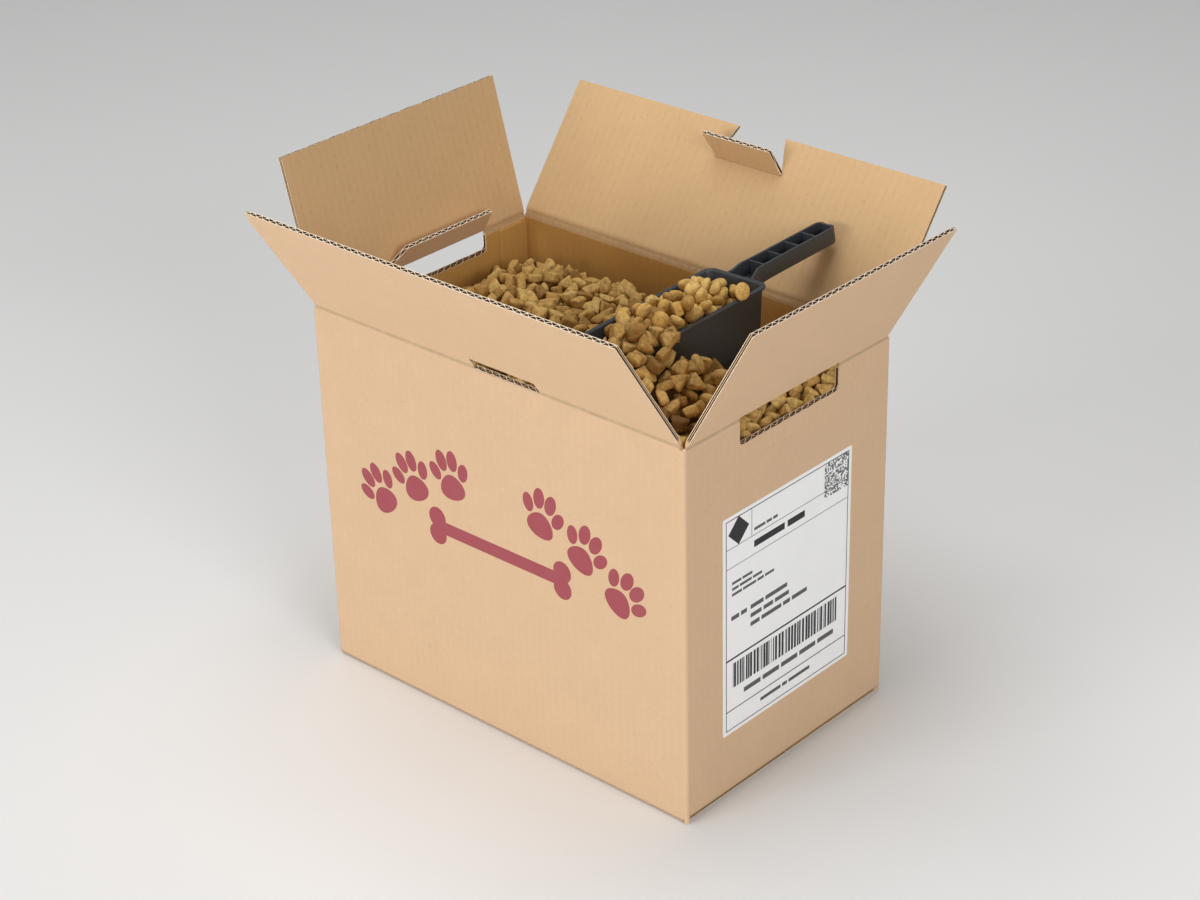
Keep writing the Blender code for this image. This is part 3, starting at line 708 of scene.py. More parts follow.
def crushed_corner(points):
    """The front flap's left outer corner, knocked back and pressed thin."""
    gap = np.hypot(points[..., 0] + HALF_X - FLAP_INSET, points[..., 2] - FLAP_LENGTH)
    share = np.exp(-((gap / (8 * MM)) ** 2))
    out = points.copy()
    out[..., 0] += 0.6 * MM * share
    out[..., 2] -= 1.6 * MM * share
    out[..., 1] += (0.5 * MM + 0.45 * (BOARD / 2 - out[..., 1])) * share
    return out


def flap_strips(reach, first, last, low):
    """A flap's three strips, of which the middle one runs from first to last and starts at low."""
    parts = ((-reach, first, CREASE_REACH), (first, last, low), (last, reach, CREASE_REACH))
    return [[(a, up, FLAP_LENGTH), (b, up, FLAP_LENGTH)] for a, b, up in parts]


def make_front_flap():
    shape = Shape()
    strips = flap_strips(HALF_X - FLAP_INSET, *SLOT)
    add_board(shape, flap_matrix("front_flap"), strips, bend=crushed_corner, rows=16)
    return shape.make("front_flap_board", BOARD_MATERIALS, smooth=40)


def make_back_flap():
    """The back flap, with its notch and the lock tab that is folded forward out of it."""
    shape = Shape()
    matrix = flap_matrix("back_flap")
    reach = HALF_X - FLAP_INSET
    left, right = (side * NOTCH_BASE / 2 - LOCK_CENTRE for side in (-1, 1))
    mouth_left, mouth_right = (side * NOTCH_MOUTH / 2 - LOCK_CENTRE for side in (-1, 1))
    tip = FLAP_LENGTH - 0.4 * MM
    strips = [
        [(-reach, CREASE_REACH, FLAP_LENGTH), (left, CREASE_REACH, FLAP_LENGTH)],
        [(left, CREASE_REACH, LOCK_CREASE), (right, CREASE_REACH, LOCK_CREASE)],
        [(right, CREASE_REACH, FLAP_LENGTH), (reach, CREASE_REACH, FLAP_LENGTH)],
        [(left, LOCK_CREASE, FLAP_LENGTH), (mouth_left, tip, FLAP_LENGTH)],
        [(mouth_right, tip, FLAP_LENGTH), (right, LOCK_CREASE, FLAP_LENGTH)],
    ]
    add_board(shape, matrix, strips, torn=0.15 * MM)
    fold = LOCK_TAB_FOLD
    pivot = Vector((0, BOARD - BOARD * math.cos(fold), LOCK_CREASE + BOARD * math.sin(fold)))
    tab = matrix @ Matrix.Translation(pivot) @ Matrix.Rotation(-fold, 4, "X")
    root = 0.4 * MM
    tab_left = left + 0.4 * MM
    tab_right = right - 1.2 * MM
    outline = [
        (tab_left, root, 2 * MM),
        (tab_left + 3.5 * MM, root, LOCK_TAB_LENGTH),
        (tab_right - 1.2 * MM, root, LOCK_TAB_LENGTH),
        (tab_right, root, LOCK_TAB_LENGTH),
    ]
    far = (tab_right + LOCK_TAB_FLARE + 0.8 * MM, LOCK_TAB_LENGTH - 0.6 * MM, LOCK_TAB_LENGTH)
    add_board(shape, tab, [outline, [(tab_right, 4 * MM, LOCK_TAB_LENGTH), far]], torn=0.15 * MM)
    way = np.array((math.sin(fold), math.cos(fold)))
    across = np.array((math.cos(fold), -math.sin(fold)))
    start = [(depth, LOCK_CREASE - 0.8 * MM) for depth in (0, BOARD)]
    foot = np.array(pivot[1:]) + (root + 0.6 * MM) * way
    end = [foot, foot + BOARD * across]
    add_fold(shape, matrix, (tab_left, tab_right), start, end, ((0, 1), way), handle=1.1 * MM)
    return shape.make("back_flap_board", BOARD_MATERIALS, smooth=40)


def make_side_flap(flap):
    """A side flap, with the tab that was cut from the wall for the hand hole and pushed in behind it."""
    shape = Shape()
    hole, to_back, first, last = hole_ends(flap)
    matrix = flap_matrix(flap)
    low = 0.9 * MM
    add_board(shape, matrix, flap_strips(HALF_Y - FLAP_INSET, first, last, low))
    fold = HAND_TAB_FOLD
    pivot = Vector((0, 0.15 * BOARD, 0.65 * BOARD))
    tab = matrix @ Matrix.Translation(pivot) @ Matrix.Rotation(-fold, 4, "X")
    front = hole[0] + HAND_TAB_GAP
    back = hole[1] - HAND_TAB_GAP
    corners = [(front, 2 * MM), (front + HAND_TAB_TAPER, HAND_TAB_LENGTH)]
    corners += [(back - 0.5 * MM, HAND_TAB_LENGTH), (back, 2 * MM)]
    strip = [(to_back * y, 0.8 * MM, top) for y, top in corners][::to_back]
    flipped = tab @ Matrix.Translation((0, BOARD, 0)) @ Matrix.Scale(-1, 4, (0, 1, 0))
    add_board(shape, flipped, [strip])
    way = np.array((math.sin(fold), math.cos(fold)))
    across = np.array((math.cos(fold), -math.sin(fold)))
    liner = 1.2 * MM
    root = np.array(pivot[1:]) + liner * way
    start = [(depth, low + 0.5 * MM) for depth in (0, liner)]
    end = [root + BOARD * across, root + (BOARD - liner) * across]
    ends = sorted((to_back * front, to_back * back))
    add_fold(shape, matrix, ends, start, end, ((0, -1), way), handle=2.2 * MM)
    return shape.make(f"{flap}_board", BOARD_MATERIALS, smooth=40)


def make_flaps():
    makers = {"front_flap": make_front_flap, "back_flap": make_back_flap}
    for flap in LABELS:
        board = makers[flap]() if flap in makers else make_side_flap(flap)
        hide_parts(flap)
        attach(board, flap)


# Printing and label


def add_patch(shape, matrix, outline, depth, thickness, slot=0):
    """A thin flat patch that stands on a panel, with that outline in (along, up)."""
    count = len(outline)
    points = [(a, d, up) for d in (depth, depth - thickness) for a, up in outline]
    faces = [tuple(range(count)), tuple(range(2 * count - 1, count - 1, -1))]
    faces += [(i, (i + 1) % count, (i + 1) % count + count, i + count) for i in range(count)]
    shape.add(moved(matrix, np.array(points)), faces, slot)


def oval(centre, half_wide, half_high, turn, pinch, points=36):
    """An oval outline. pinch draws in its upper half."""
    outline = []
    for step in range(points):
        angle = 2 * math.pi * step / points
        x = half_wide * math.cos(angle) * (1 - pinch * math.sin(angle))
        outline.append(turned(centre, x, half_high * math.sin(angle), turn))
    return outline


def bone_outline(centre, half_length, shaft, knob):
    """A bone lying along: a shaft of that half height with two knobs at each end."""
    apart = 0.8 * knob
    foot = math.degrees(math.asin((apart - shaft) / knob))
    waist = math.degrees(math.asin(apart / knob))
    outline = []
    for side, up, first, last in (
        (1, -1, 180 - foot, 360 + waist),
        (1, 1, -waist, 180 + foot),
        (-1, 1, -foot, 180 + waist),
        (-1, -1, 180 - waist, 360 + foot),
    ):
        middle = (centre[0] + side * (half_length - knob), centre[1] + up * apart)
        outline += arc(middle, knob, first, last, 16)
    return outline


def add_paw(shape, matrix, middle, turn):
    """A pad and four toes, about 38 mm across."""
    for x, y, wide, high, lean, pinch in (
        (0, -8, 11.5, 9.5, 0.0, 0.22),
        (-13.5, 3.5, 4.6, 7.0, 0.42, 0.0),
        (-5.2, 11.5, 4.9, 7.8, 0.12, 0.0),
        (5.2, 11.5, 4.9, 7.8, -0.12, 0.0),
        (13.5, 3.5, 4.6, 7.0, -0.42, 0.0),
    ):
        centre = turned(middle, x * MM, y * MM, turn)
        add_patch(shape, matrix, oval(centre, wide * MM, high * MM, turn + lean, pinch), 0, INK)


def make_front_print():
    """A plain print in the panel's one ink: an arch of paw marks over a bone."""
    shape = Shape()
    matrix = wall_matrix("front_flap")
    centre_x = 2 * MM
    radius = 182 * MM
    arch_top = 196 * MM - HEIGHT
    bone_up = 148 * MM - HEIGHT
    for turn in (-38.5, -26.0, -13.5, 13.5, 26.0, 38.5):
        angle = math.radians(turn)
        middle = (centre_x + radius * math.sin(angle), arch_top - radius * (1 - math.cos(angle)))
        add_paw(shape, matrix, middle, -angle)
    add_patch(shape, matrix, bone_outline((centre_x + 1 * MM, bone_up), 66 * MM, 5 * MM, 8 * MM), 0, INK)
    art = shape.make("front_print", [make_ink("maroon_ink", srgb(160, 74, 82), 0.7, 0.08)])
    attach(art, "carton")


def make_label():
    """A shipping label: a border with rules, bars and blocks in three tones of ink."""
    matrix = wall_matrix("right_flap")
    width, height = LABEL_SIZE
    middle = (LABEL_CENTRE[0], LABEL_CENTRE[1] - SIDE_HEIGHT)
    left = middle[0] - width / 2
    top = middle[1] + height / 2
    outline = []
    for x_side, y_side, start in ((1, 1, 0), (-1, 1, 90), (-1, -1, 180), (1, -1, 270)):
        x = middle[0] + x_side * (width / 2 - LABEL_CORNER)
        y = middle[1] + y_side * (height / 2 - LABEL_CORNER)
        outline += arc((x, y), LABEL_CORNER, start, start + 90, 4)
    paper = Shape()
    add_patch(paper, matrix, outline, 0, LABEL_THICKNESS)
    sheet = paper.make("shipping_label_paper", [make_label_paper()])
    ink = Shape()
    black, grey, code = range(3)

    def rect(x0, x1, y0, y1, slot=black):
        """A block, in shares of the label's width and height from its top left corner."""
        corners = [(x0, y0), (x1, y0), (x1, y1), (x0, y1)]
        places = [(left + x * width, top - y * height) for x, y in corners]
        add_patch(ink, matrix, places, -LABEL_THICKNESS, INK, slot)

    rule = 0.004
    x0, x1, y0, y1 = 0.022, 0.978, 0.016, 0.984
    rect(x0, x1, y0, y0 + rule)
    rect(x0, x1, y1 - rule, y1)
    rect(x0, x0 + rule * 1.2, y0, y1)
    rect(x1 - rule * 1.2, x1, y0, y1)
    for y, thick in ((0.143, 0.0025), (0.23, 0.0025), (0.648, 0.008), (0.89, 0.0045)):
        rect(x0, x1, y, y + thick)
    rect(0.215, 0.218, y0, 0.143)
    size = 0.078 * width
    mark = (left + 0.118 * width, top - 0.080 * height)
    diamond = [(mark[0] + x * size, mark[1] + y * size) for x, y in ((1, 0), (0, 1), (-1, 0), (0, -1))]
    add_patch(ink, matrix, diamond, -LABEL_THICKNESS, INK)
    for x, y, size, slot, *lengths in (
        (0.235, 0.112, 0.013, grey, 0.085, 0.04, 0.035),
        (0.235, 0.170, 0.030, black, 0.235, 0.135),
        (0.068, 0.300, 0.012, grey, 0.07, 0.075),
        (0.068, 0.326, 0.012, grey, 0.05, 0.09, 0.07),
        (0.068, 0.352, 0.012, grey, 0.075, 0.10, 0.05, 0.07),
        (0.062, 0.455, 0.019, grey, 0.06, 0.045),
        (0.21, 0.455, 0.019, grey, 0.10, 0.17),
        (0.21, 0.495, 0.019, grey, 0.085, 0.075, 0.11),
        (0.21, 0.535, 0.019, grey, 0.07, 0.155, 0.055, 0.12),
        (0.16, 0.822, 0.022, grey, 0.13, 0.13, 0.13, 0.13, 0.13),
        (0.29, 0.924, 0.016, grey, 0.16, 0.04, 0.17),
    ):
        for length in lengths:
            rect(x, x + length, y, y + size, slot)
            x += length + size * 0.75
    rng = np.random.default_rng(11)
    x = 0.075
    bars_end = 0.905
    while x < 0.90:
        bar = rng.choice((0.004, 0.008, 0.012, 0.016))
        rect(x, min(x + bar, bars_end), 0.676, 0.79)
        x += bar + rng.choice((0.004, 0.008, 0.012))
    modules = 24
    cell = 0.19 / modules
    tall = cell * width / height
    for i in range(modules):
        for j in range(modules):
            if rng.random() < 0.5:
                x = 0.783 + i * cell
                y = 0.020 + j * tall
                rect(x, x + cell, y, y + tall, code)
    tones = (("label_black", (28, 27, 28)), ("label_grey", (88, 87, 88)), ("label_code", (112, 111, 112)))
    inks = [make_ink(name, srgb(*tone), 0.45, 0.06) for name, tone in tones]
    printing = ink.make("shipping_label_print", inks)
    for obj in (sheet, printing):
        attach(obj, "carton")
    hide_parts("shipping_label")


# Scoop


def scoop_matrix():
    yaw, pitch, roll = (math.radians(angle) for angle in SCOOP_TURN)
    turn = Matrix.Rotation(-yaw, 4, "Z") @ Matrix.Rotation(pitch, 4, "X") @ Matrix.Rotation(-roll, 4, "Y")
    return Matrix.Translation(SCOOP_PLACE) @ turn


def swept(shape, rows, closed):
    """Adds rows of points with faces between them, and closes the two ends. closed rows are loops."""
    columns = len(rows[0])
    faces = []
    for start in range(0, (len(rows) - 1) * columns, columns):
        for i in range(columns if closed else columns - 1):
            j = (i + 1) % columns
            faces.append((start + i, start + j, start + columns + j, start + columns + i))
    last = len(rows) * columns - 1
    faces += [tuple(range(columns)), tuple(range(last, last - columns, -1))]
    shape.add([point for row in rows for point in row], faces, 0)


def bowl_path():
    """Places on the rim's inner line, from the mouth round the rear and back, each with its way outward."""
    half = RIM_HALF - RIM_FLANGE
    rear = RIM_FLANGE + BOWL_CORNER
    wall = [-BOWL_LENGTH * (1 - step / 14) - rear * step / 14 for step in range(15)]
    path = [(-half, y, -1, 0) for y in wall]
    for side, first in ((-1, 180), (1, 90)):
        places = arc((side * (half - BOWL_CORNER), -rear), BOWL_CORNER, first, first - 90, 8)
        path += [place + way for place, way in zip(places, arc((0, 0), 1, first, first - 90, 8))]
    return path + [(half, y, 1, 0) for y in wall[::-1]]


def bowl_section():
    """(out, up, at the middle) round the wall, from the floor inside, over the rim, to the floor outside."""
    floor = BOWL_WALL - BOWL_DEPTH
    inner, outer = 4 * MM, 5 * MM  # radii of the fillets at the floor
    inside = ((0, -30), (0, -12), (0, -1.2), (0.25, -0.3), (0.8, 0))
    rim = ((-1.0, 0), (-0.3, -0.2), (0, -0.8), (0, -1.7), (-0.4, -2.2))
    outside = ((0.6, -2.3), (0.15, -2.7), (0, -4), (0, -20), (0, -35))
    line = arc((-BOWL_WALL - inner, floor + inner), inner, -90, 0, 5)
    for start, places in ((-BOWL_WALL, inside), (RIM_FLANGE, rim), (0, outside)):
        line += [(start + out * MM, up * MM) for out, up in places]
    line += arc((-outer, outer - BOWL_DEPTH), outer, 0, -90, 5)
    return [(0, floor, True), *((*place, False) for place in line), (0, -BOWL_DEPTH, True)]


def make_bowl(shape):
    """A drafted bowl, open at the top and the mouth, swept along its left, rear and right walls."""
    middle = -RIM_FLANGE - BOWL_CORNER - 8 * MM
    rows = []
    for x, y, out_x, out_y in bowl_path():
        row = []
        for out, up, at_middle in bowl_section():
            lean = out + BOWL_DRAFT * up
            on_side = abs(out_y) < 1e-6
            at_y = y + (BOWL_LIP * up / BOWL_DEPTH * (-y / BOWL_LENGTH) ** 4 if on_side else out_y * lean)
            row.append((0, min(at_y, middle), up) if at_middle else (x + out_x * lean, at_y, up))
        rows.append(row)
    swept(shape, rows, False)


def make_handle(shape):
    """An open channel with cross ribs, wide and low where it leaves the rim."""
    rows = []
    for station in (-3.5, -1, 1, 3, 5, 7.5, 10, 13, 17, 30, 50, 70, 81, 83, 84.5, 85.4, 86):
        near = math.exp(-max(0.0, station) / 5.5)
        to_end = max(0.0, station - 81) / 5
        half = HANDLE_HALF + 4 * MM * near - 4 * MM * (1 - math.sqrt(max(0.0, 1 - to_end**2)))
        share = min(1.0, max(0.0, (station + 0.5) / 11))
        top = -0.4 * MM + (HANDLE_RISE + 0.4 * MM) * share * share * (3 - 2 * share)
        bottom = HANDLE_RISE - HANDLE_DEPTH - 2.5 * MM * near
        inner = half - HANDLE_WALL
        floor = bottom + HANDLE_WALL
        soft = 2.2 * MM
        outer = [(half, top), (half, bottom + soft)]
        outer += [(half - 0.6 * MM, bottom + 0.6 * MM), (half - soft, bottom)]
        hollow = [(inner, top), (inner - 0.3 * MM, floor + 0.5 * MM), (inner - 1.0 * MM, floor)]
        loop = outer + [(-x, z) for x, z in outer[::-1]] + [(-x, z) for x, z in hollow] + hollow[::-1]
        rows.append([(x, station * MM, z) for x, z in loop])
    swept(shape, rows, True)
    inner = HANDLE_HALF - HANDLE_WALL + 0.3 * MM
    bottom = HANDLE_RISE - HANDLE_DEPTH + 0.5 * MM
    pitch = (HANDLE_LENGTH - 2 * MM) / HANDLE_CELLS
    ribs = [(i * pitch, inner, 1.3 * MM, HANDLE_RISE - 0.5 * MM) for i in range(1, HANDLE_CELLS)]
    end_rib = (HANDLE_CELLS * pitch + 0.6 * MM, inner - 1.5 * MM, 1.9 * MM, HANDLE_RISE)
    for y, wide, thick, top in (*ribs, end_rib):
        add_block(shape, (-wide, y - thick / 2, bottom), (wide, y + thick / 2, top))


def add_block(shape, low, high):
    corners = [(x, y, z) for x in (low[0], high[0]) for y in (low[1], high[1]) for z in (low[2], high[2])]
    faces = [(0, 1, 3, 2), (4, 6, 7, 5), (0, 4, 5, 1), (2, 3, 7, 6), (0, 2, 6, 4), (1, 5, 7, 3)]
    shape.add(corners, faces, 0)


def assign(target, **values):
    for name, value in values.items():
        setattr(target, name, value)


def make_scoop():
    plastic = make_plastic()
    shape = Shape()
    make_bowl(shape)
    bowl = shape.make("scoop_bowl", [plastic])
    weld = bmesh.new()
    weld.from_mesh(bowl.data)
    bmesh.ops.remove_doubles(weld, verts=weld.verts, dist=0.01 * MM)
    bmesh.ops.recalc_face_normals(weld, faces=weld.faces)
    weld.to_mesh(bowl.data)
    weld.free()
    shape = Shape()
    make_handle(shape)
    handle = shape.make("scoop_handle", [plastic])
    bevel = handle.modifiers.new("edges", "BEVEL")
    assign(bevel, width=0.45 * MM, segments=3, limit_method="ANGLE", angle_limit=math.radians(50))
    for obj in (bowl, handle):
        obj.data.shade_smooth()
        obj.data.set_sharp_from_angle(angle=math.radians(35))
        obj.matrix_world = scoop_matrix()
    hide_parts("scoop")
    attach(bowl, "carton")
    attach(handle, "carton")


# Kibble


def ball(divisions):
    """Unit directions and quads of a cube blown up to a ball."""
    bm = bmesh.new()
    bmesh.ops.create_cube(bm, size=2)
    bmesh.ops.subdivide_edges(bm, edges=bm.edges, cuts=divisions - 1, use_grid_fill=True)
    points = np.array([v.co for v in bm.verts])
    points = np.tan(points * math.pi / 4 * 0.98)
    points /= np.linalg.norm(points, axis=1)[:, None]
    bm.verts.index_update()
    faces = [tuple(v.index for v in f.verts) for f in bm.faces]
    bm.free()
    return points, faces


def some_way(rng):
    way = rng.normal(size=3)
    return way / np.linalg.norm(way)


def lumps(points, rng, sizes):
    """Smooth bumps over a ball of directions: sums of waves of falling size."""
    total = np.zeros(len(points))
    for frequency, amount in sizes:
        for _ in range(4):
            way = some_way(rng)
            total += amount * np.sin(points @ way * frequency + rng.uniform(0, TURN)) / 2
    return total


def chunk(points, rng, corners, flatness, power, height):
    """A block with that many corners seen from above, as a ball (flatness 0) or with flat sides (1)."""
    around = np.arctan2(points[:, 1], points[:, 0]) + rng.uniform(0, TURN)
    step = 2 * math.pi / corners
    sides = math.cos(step / 2) / np.cos(np.mod(around, step) - step / 2)
    reach = (1 - flatness) + flatness * sides
    reach = reach * (1 - rng.uniform(0, 0.28) * points[:, 2]) * math.sqrt(1 / np.mean(reach**2))
    level = np.sqrt(np.clip(1 - points[:, 2] ** 2, 0, 1))
    radius = ((level / reach) ** power + np.abs(points[:, 2] / height) ** power) ** (-1 / power)
    return points * radius[:, None]


def chopped(out, rng, count):
    """Flat faces broken off it."""
    for _ in range(count):
        way = some_way(rng)
        reach = out @ way
        over = np.maximum(reach - rng.uniform(0.62, 0.86) * reach.max(), 0)
        out = out - (over * 0.97)[:, None] * way
    return out


def nugget(points, rng):
    """A chunky three-cornered or four-cornered nugget with worn corners."""
    corners = 3 if rng.random() < 0.88 else 4
    out = chunk(points, rng, corners, rng.uniform(0.8, 0.97), rng.uniform(4, 7), rng.uniform(0.55, 0.78))
    out = chopped(out, rng, 3)
    out[:, 0] *= rng.uniform(0.85, 1.2)
    return out * (1 + lumps(points, rng, ((3, 0.035), (9, 0.016), (19, 0.010))))[:, None]


def pellet(points, rng):
    """A rounded oval, a little flattened."""
    out = chunk(points, rng, 3, rng.uniform(0, 0.3), rng.uniform(2, 2.5), rng.uniform(0.5, 0.8))
    out = chopped(out, rng, 1)
    out[:, 0] *= rng.uniform(0.95, 1.3)
    return out * (1 + lumps(points, rng, ((3, 0.03), (8, 0.012), (21, 0.008))))[:, None]


class Kibble:
    """A mix of kibble: nuggets first, then pellets, and the pieces placed so far."""

    def __init__(self, seed, nuggets, pellets):
        rng = np.random.default_rng(seed)
        fine, self.fine_faces = ball(9)
        coarse, self.coarse_faces = ball(4)
        ways, _ = ball(3)
        self.nuggets = nuggets
        self.shapes = []
        for maker in [nugget] * nuggets + [pellet] * pellets:
            state = rng.bit_generator.state
            made = []
            for points in (fine, coarse):
                rng.bit_generator.state = state
                made.append(maker(points, rng))
            made.append(made[0][np.unique(np.argmax(made[0] @ ways.T, axis=0))])
            size = np.ptp(made[0], axis=0).mean() / 2
            self.shapes.append([points / size for points in made])
        self.places = []

    def hull(self, number, size):
        """The mesh that stands for a shape while it settles."""
        bm = bmesh.new()
        for point in self.shapes[number][2]:
            bm.verts.new(Vector(point) * size)
        bmesh.ops.convex_hull(bm, input=bm.verts)
        return mesh_from("kibble_hull", bm)

    def points(self, place, fine):
        """A placed piece's points, for its fine mesh or its coarse one."""
        shape = self.shapes[place["shape"]][0 if fine else 1]
        matrix = np.array(place["turn"].to_matrix())
        return shape @ matrix.T * place["size"] * DRAWN_SIZE + np.array(place["at"])

    def fill(self, spots, rng, size, pellet_share):
        """Gives each spot a shape, turn, size and tone. pellet_share(x) is how many there are pellets."""
        count = len(self.shapes)
        for at in spots:
            first, last = (self.nuggets, count) if rng.random() < pellet_share(at[0]) else (0, self.nuggets)
            place = {
                "shape": int(rng.integers(first, last)),
                "at": at,
                "turn": Quaternion(Vector(rng.normal(size=4)).normalized()),
                "size": size / 2 * (0.84 + 0.28 * rng.random()),
                "tone": rng.random(),
            }
            self.places.append(place)

    def make_piece(self, name, places, material, is_fine):
        shape = Shape()
        tones = []
        for place in places:
            fine = is_fine(place)
            points = self.points(place, fine)
            shape.add(points, self.fine_faces if fine else self.coarse_faces, 0)
            tones += [place["tone"]] * len(points)
        mesh = new_mesh(name, shape.points, shape.faces)
        mesh.materials.append(material)
        mesh.shade_smooth()
        mesh.attributes.new("tone", "FLOAT", "POINT").data.foreach_set("value", np.array(tones, np.float32))
        piece = add_object(name, mesh)
        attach(piece, "carton")
        return piece


def surface_under(tree, x, y, default=NO_SOLID):
    """Height of a CAD solid's top at a place, or the default where it has none."""
    above = Vector((x, y, HEIGHT + 200 * MM))
    hit = tree.ray_cast(above, Vector((0, 0, -1)))[0]
    return default if hit is None else hit.z


def node_tree(name):
    mesh = frame["nodes"][name].data
    return BVHTree.FromPolygons([v.co for v in mesh.vertices], [tuple(p.vertices) for p in mesh.polygons])


def in_bowl(x, y, z, grow):
    """Whether a place is on the scoop's walls, or in or over the part that has only its own load."""
    local = scoop_matrix().inverted() @ Vector((x, y, z))
    if not -BOWL_LENGTH < local.y < grow:
        return False
    on_wall = abs(abs(local.x) - RIM_HALF + RIM_FLANGE) < grow
    if local.y > -MIXED_FROM:
        return on_wall or abs(local.x) < RIM_HALF
    return on_wall and local.z < grow


def grid_spots(low, high, size, rng):
    """Places on a loose triangular grid between two corners."""
    found = []
    row = 0
    y = low[1]
    while y <= high[1]:
        x = low[0] + (size / 2 if row % 2 else 0)
        while x <= high[0]:
            jitter = rng.uniform(-0.1, 0.1, 2) * size
            found.append((x + jitter[0], y + jitter[1]))
            x += size
        row += 1
        y += size * 0.88
    return found


def heap_top(solid, x, y):
    """Height of the carton's kibble, which drifts up over the scoop's mouth."""
    across = x - DRIFT_PEAK[0]
    across /= DRIFT_WIDE[across > 0]
    rise = DRIFT_RISE - DRIFT_SLOPE * math.hypot(across, y - DRIFT_PEAK[1])
    drift = HEIGHT + min(rise, DRIFT_TOP)
    return max(surface_under(solid, x, y), drift)


def heap_spots(rng):
    """Where the carton's kibble starts: layers of places over the heap's floor."""
    solid = node_tree("food_fill")
    edge = BOARD + KIBBLE * 0.55
    low = (-HALF_X + edge, -HALF_Y + edge)
    high = (HALF_X - edge, HALF_Y - edge)
    found = []
    for layer in range(HEAP_LAYERS + 1):
        shift = rng.uniform(-0.3, 0.3, 2) * KIBBLE
        for x, y in grid_spots(low, high, KIBBLE * 1.04, rng):
            x = min(max(x + shift[0], low[0]), high[0])
            y = min(max(y + shift[1], low[1]), high[1])
            top = heap_top(solid, x, y)
            if layer >= HEAP_LAYERS and top < surface_under(solid, x, y) + DRIFT_SHARE:
                continue
            z = top - HEAP_DEPTH + (layer + 0.55) * KIBBLE * 0.95
            if not in_bowl(x, y, z, KIBBLE * 0.5):
                found.append((x, y, z))
    return found


def load_top(solid, x, y):
    """Height of the scoop's kibble at a place in the bowl's own frame, or None where it has none."""
    under = scoop_matrix() @ Vector((x, min(y, -LOAD_END), 0))
    top = surface_under(solid, under.x, under.y, None)
    if top is None:
        return None
    to_rear = min(max(1.6 + y / (50 * MM), 0), 1)
    to_right = min(max(0.7 + x / (24 * MM), 0), 1)
    return top + LOAD_RISE * to_rear * to_right


def load_spots(rng):
    """Where the scoop's kibble starts, in the bowl's own frame turned to the carton's."""
    place = scoop_matrix()
    solid = node_tree("scoop_food")
    found = []
    edge = BOWL_WALL + LOAD_KIBBLE * 0.6
    half = RIM_HALF - RIM_FLANGE - edge
    for layer in range(LOAD_LAYERS):
        for x, y in grid_spots((-half, -MIXED_FROM), (half, -RIM_FLANGE - edge), LOAD_KIBBLE * 1.02, rng):
            base = place @ Vector((x, y, 0))
            top = load_top(solid, x, y)
            if top is not None:
                found.append((base.x, base.y, top - LOAD_DEPTH + (layer + 0.55) * LOAD_KIBBLE * 0.92))
    return found


def add_body(solids, obj, **settings):
    """Puts an object among the solids that settle, as a rigid body without a margin."""
    bpy.context.scene.collection.objects.link(obj)
    solids.objects.link(obj)
    assign(obj.rigid_body, **settings, friction=2.0, use_margin=True, collision_margin=0)


def grid_mesh(name, low, high, cell, height):
    """A sheet whose height is height(x, y), in settling units."""
    counts = [max(2, round((b - a) / cell) + 1) for a, b in zip(low, high)]
    xs = np.linspace(low[0], high[0], counts[0])
    ys = np.linspace(low[1], high[1], counts[1])
    points = [(x * SETTLE_SCALE, y * SETTLE_SCALE, height(x, y) * SETTLE_SCALE) for x in xs for y in ys]
    faces = []
    for i in range(counts[0] - 1):
        for j in range(counts[1] - 1):
            a = i * counts[1] + j
            faces.append((a, a + counts[1], a + counts[1] + 1, a + 1))
    return new_mesh(name, points, faces)


def box_mesh(name, low, high):
    shape = Shape()
    add_block(shape, [v * SETTLE_SCALE for v in low], [v * SETTLE_SCALE for v in high])
    return new_mesh(name, shape.points, shape.faces)


def heap_floor_mesh():
    """The hidden floor that the carton's kibble comes to rest on."""
    inside = (HALF_X - BOARD, HALF_Y - BOARD)
    heap = node_tree("food_fill")

    def height(x, y):
        limit = [min(max(v, -half + MM), half - MM) for v, half in zip((x, y), inside)]
        rough = math.sin(x / KIBBLE * 4.1) * math.sin(y / KIBBLE * 4.7)
        level = heap_top(heap, *limit)
        if in_bowl(*limit, HEIGHT, 0):
            level = max(level, HEIGHT - 6 * MM)
        return level - HEAP_DEPTH + 0.18 * KIBBLE * rough

    return grid_mesh("heap_floor", (-inside[0], -inside[1]), inside, 9 * MM, height)


def load_floor_mesh():
    """The hidden floor under the scoop's kibble."""
    rim = scoop_matrix()
    load = node_tree("scoop_food")

    def height(x, y):
        local = rim.inverted() @ Vector((x, y, SCOOP_PLACE[2]))
        top = load_top(load, local.x, local.y)
        return -1 if top is None else top - LOAD_DEPTH

    middle = rim @ Vector((0, -BOWL_LENGTH / 2, 0))
    reach = (0.06, 0.08)
    low = (middle.x - reach[0], middle.y - reach[1])
    high = (middle.x + reach[0], middle.y + reach[1])
    return grid_mesh("load_floor", low, high, 8 * MM, height)


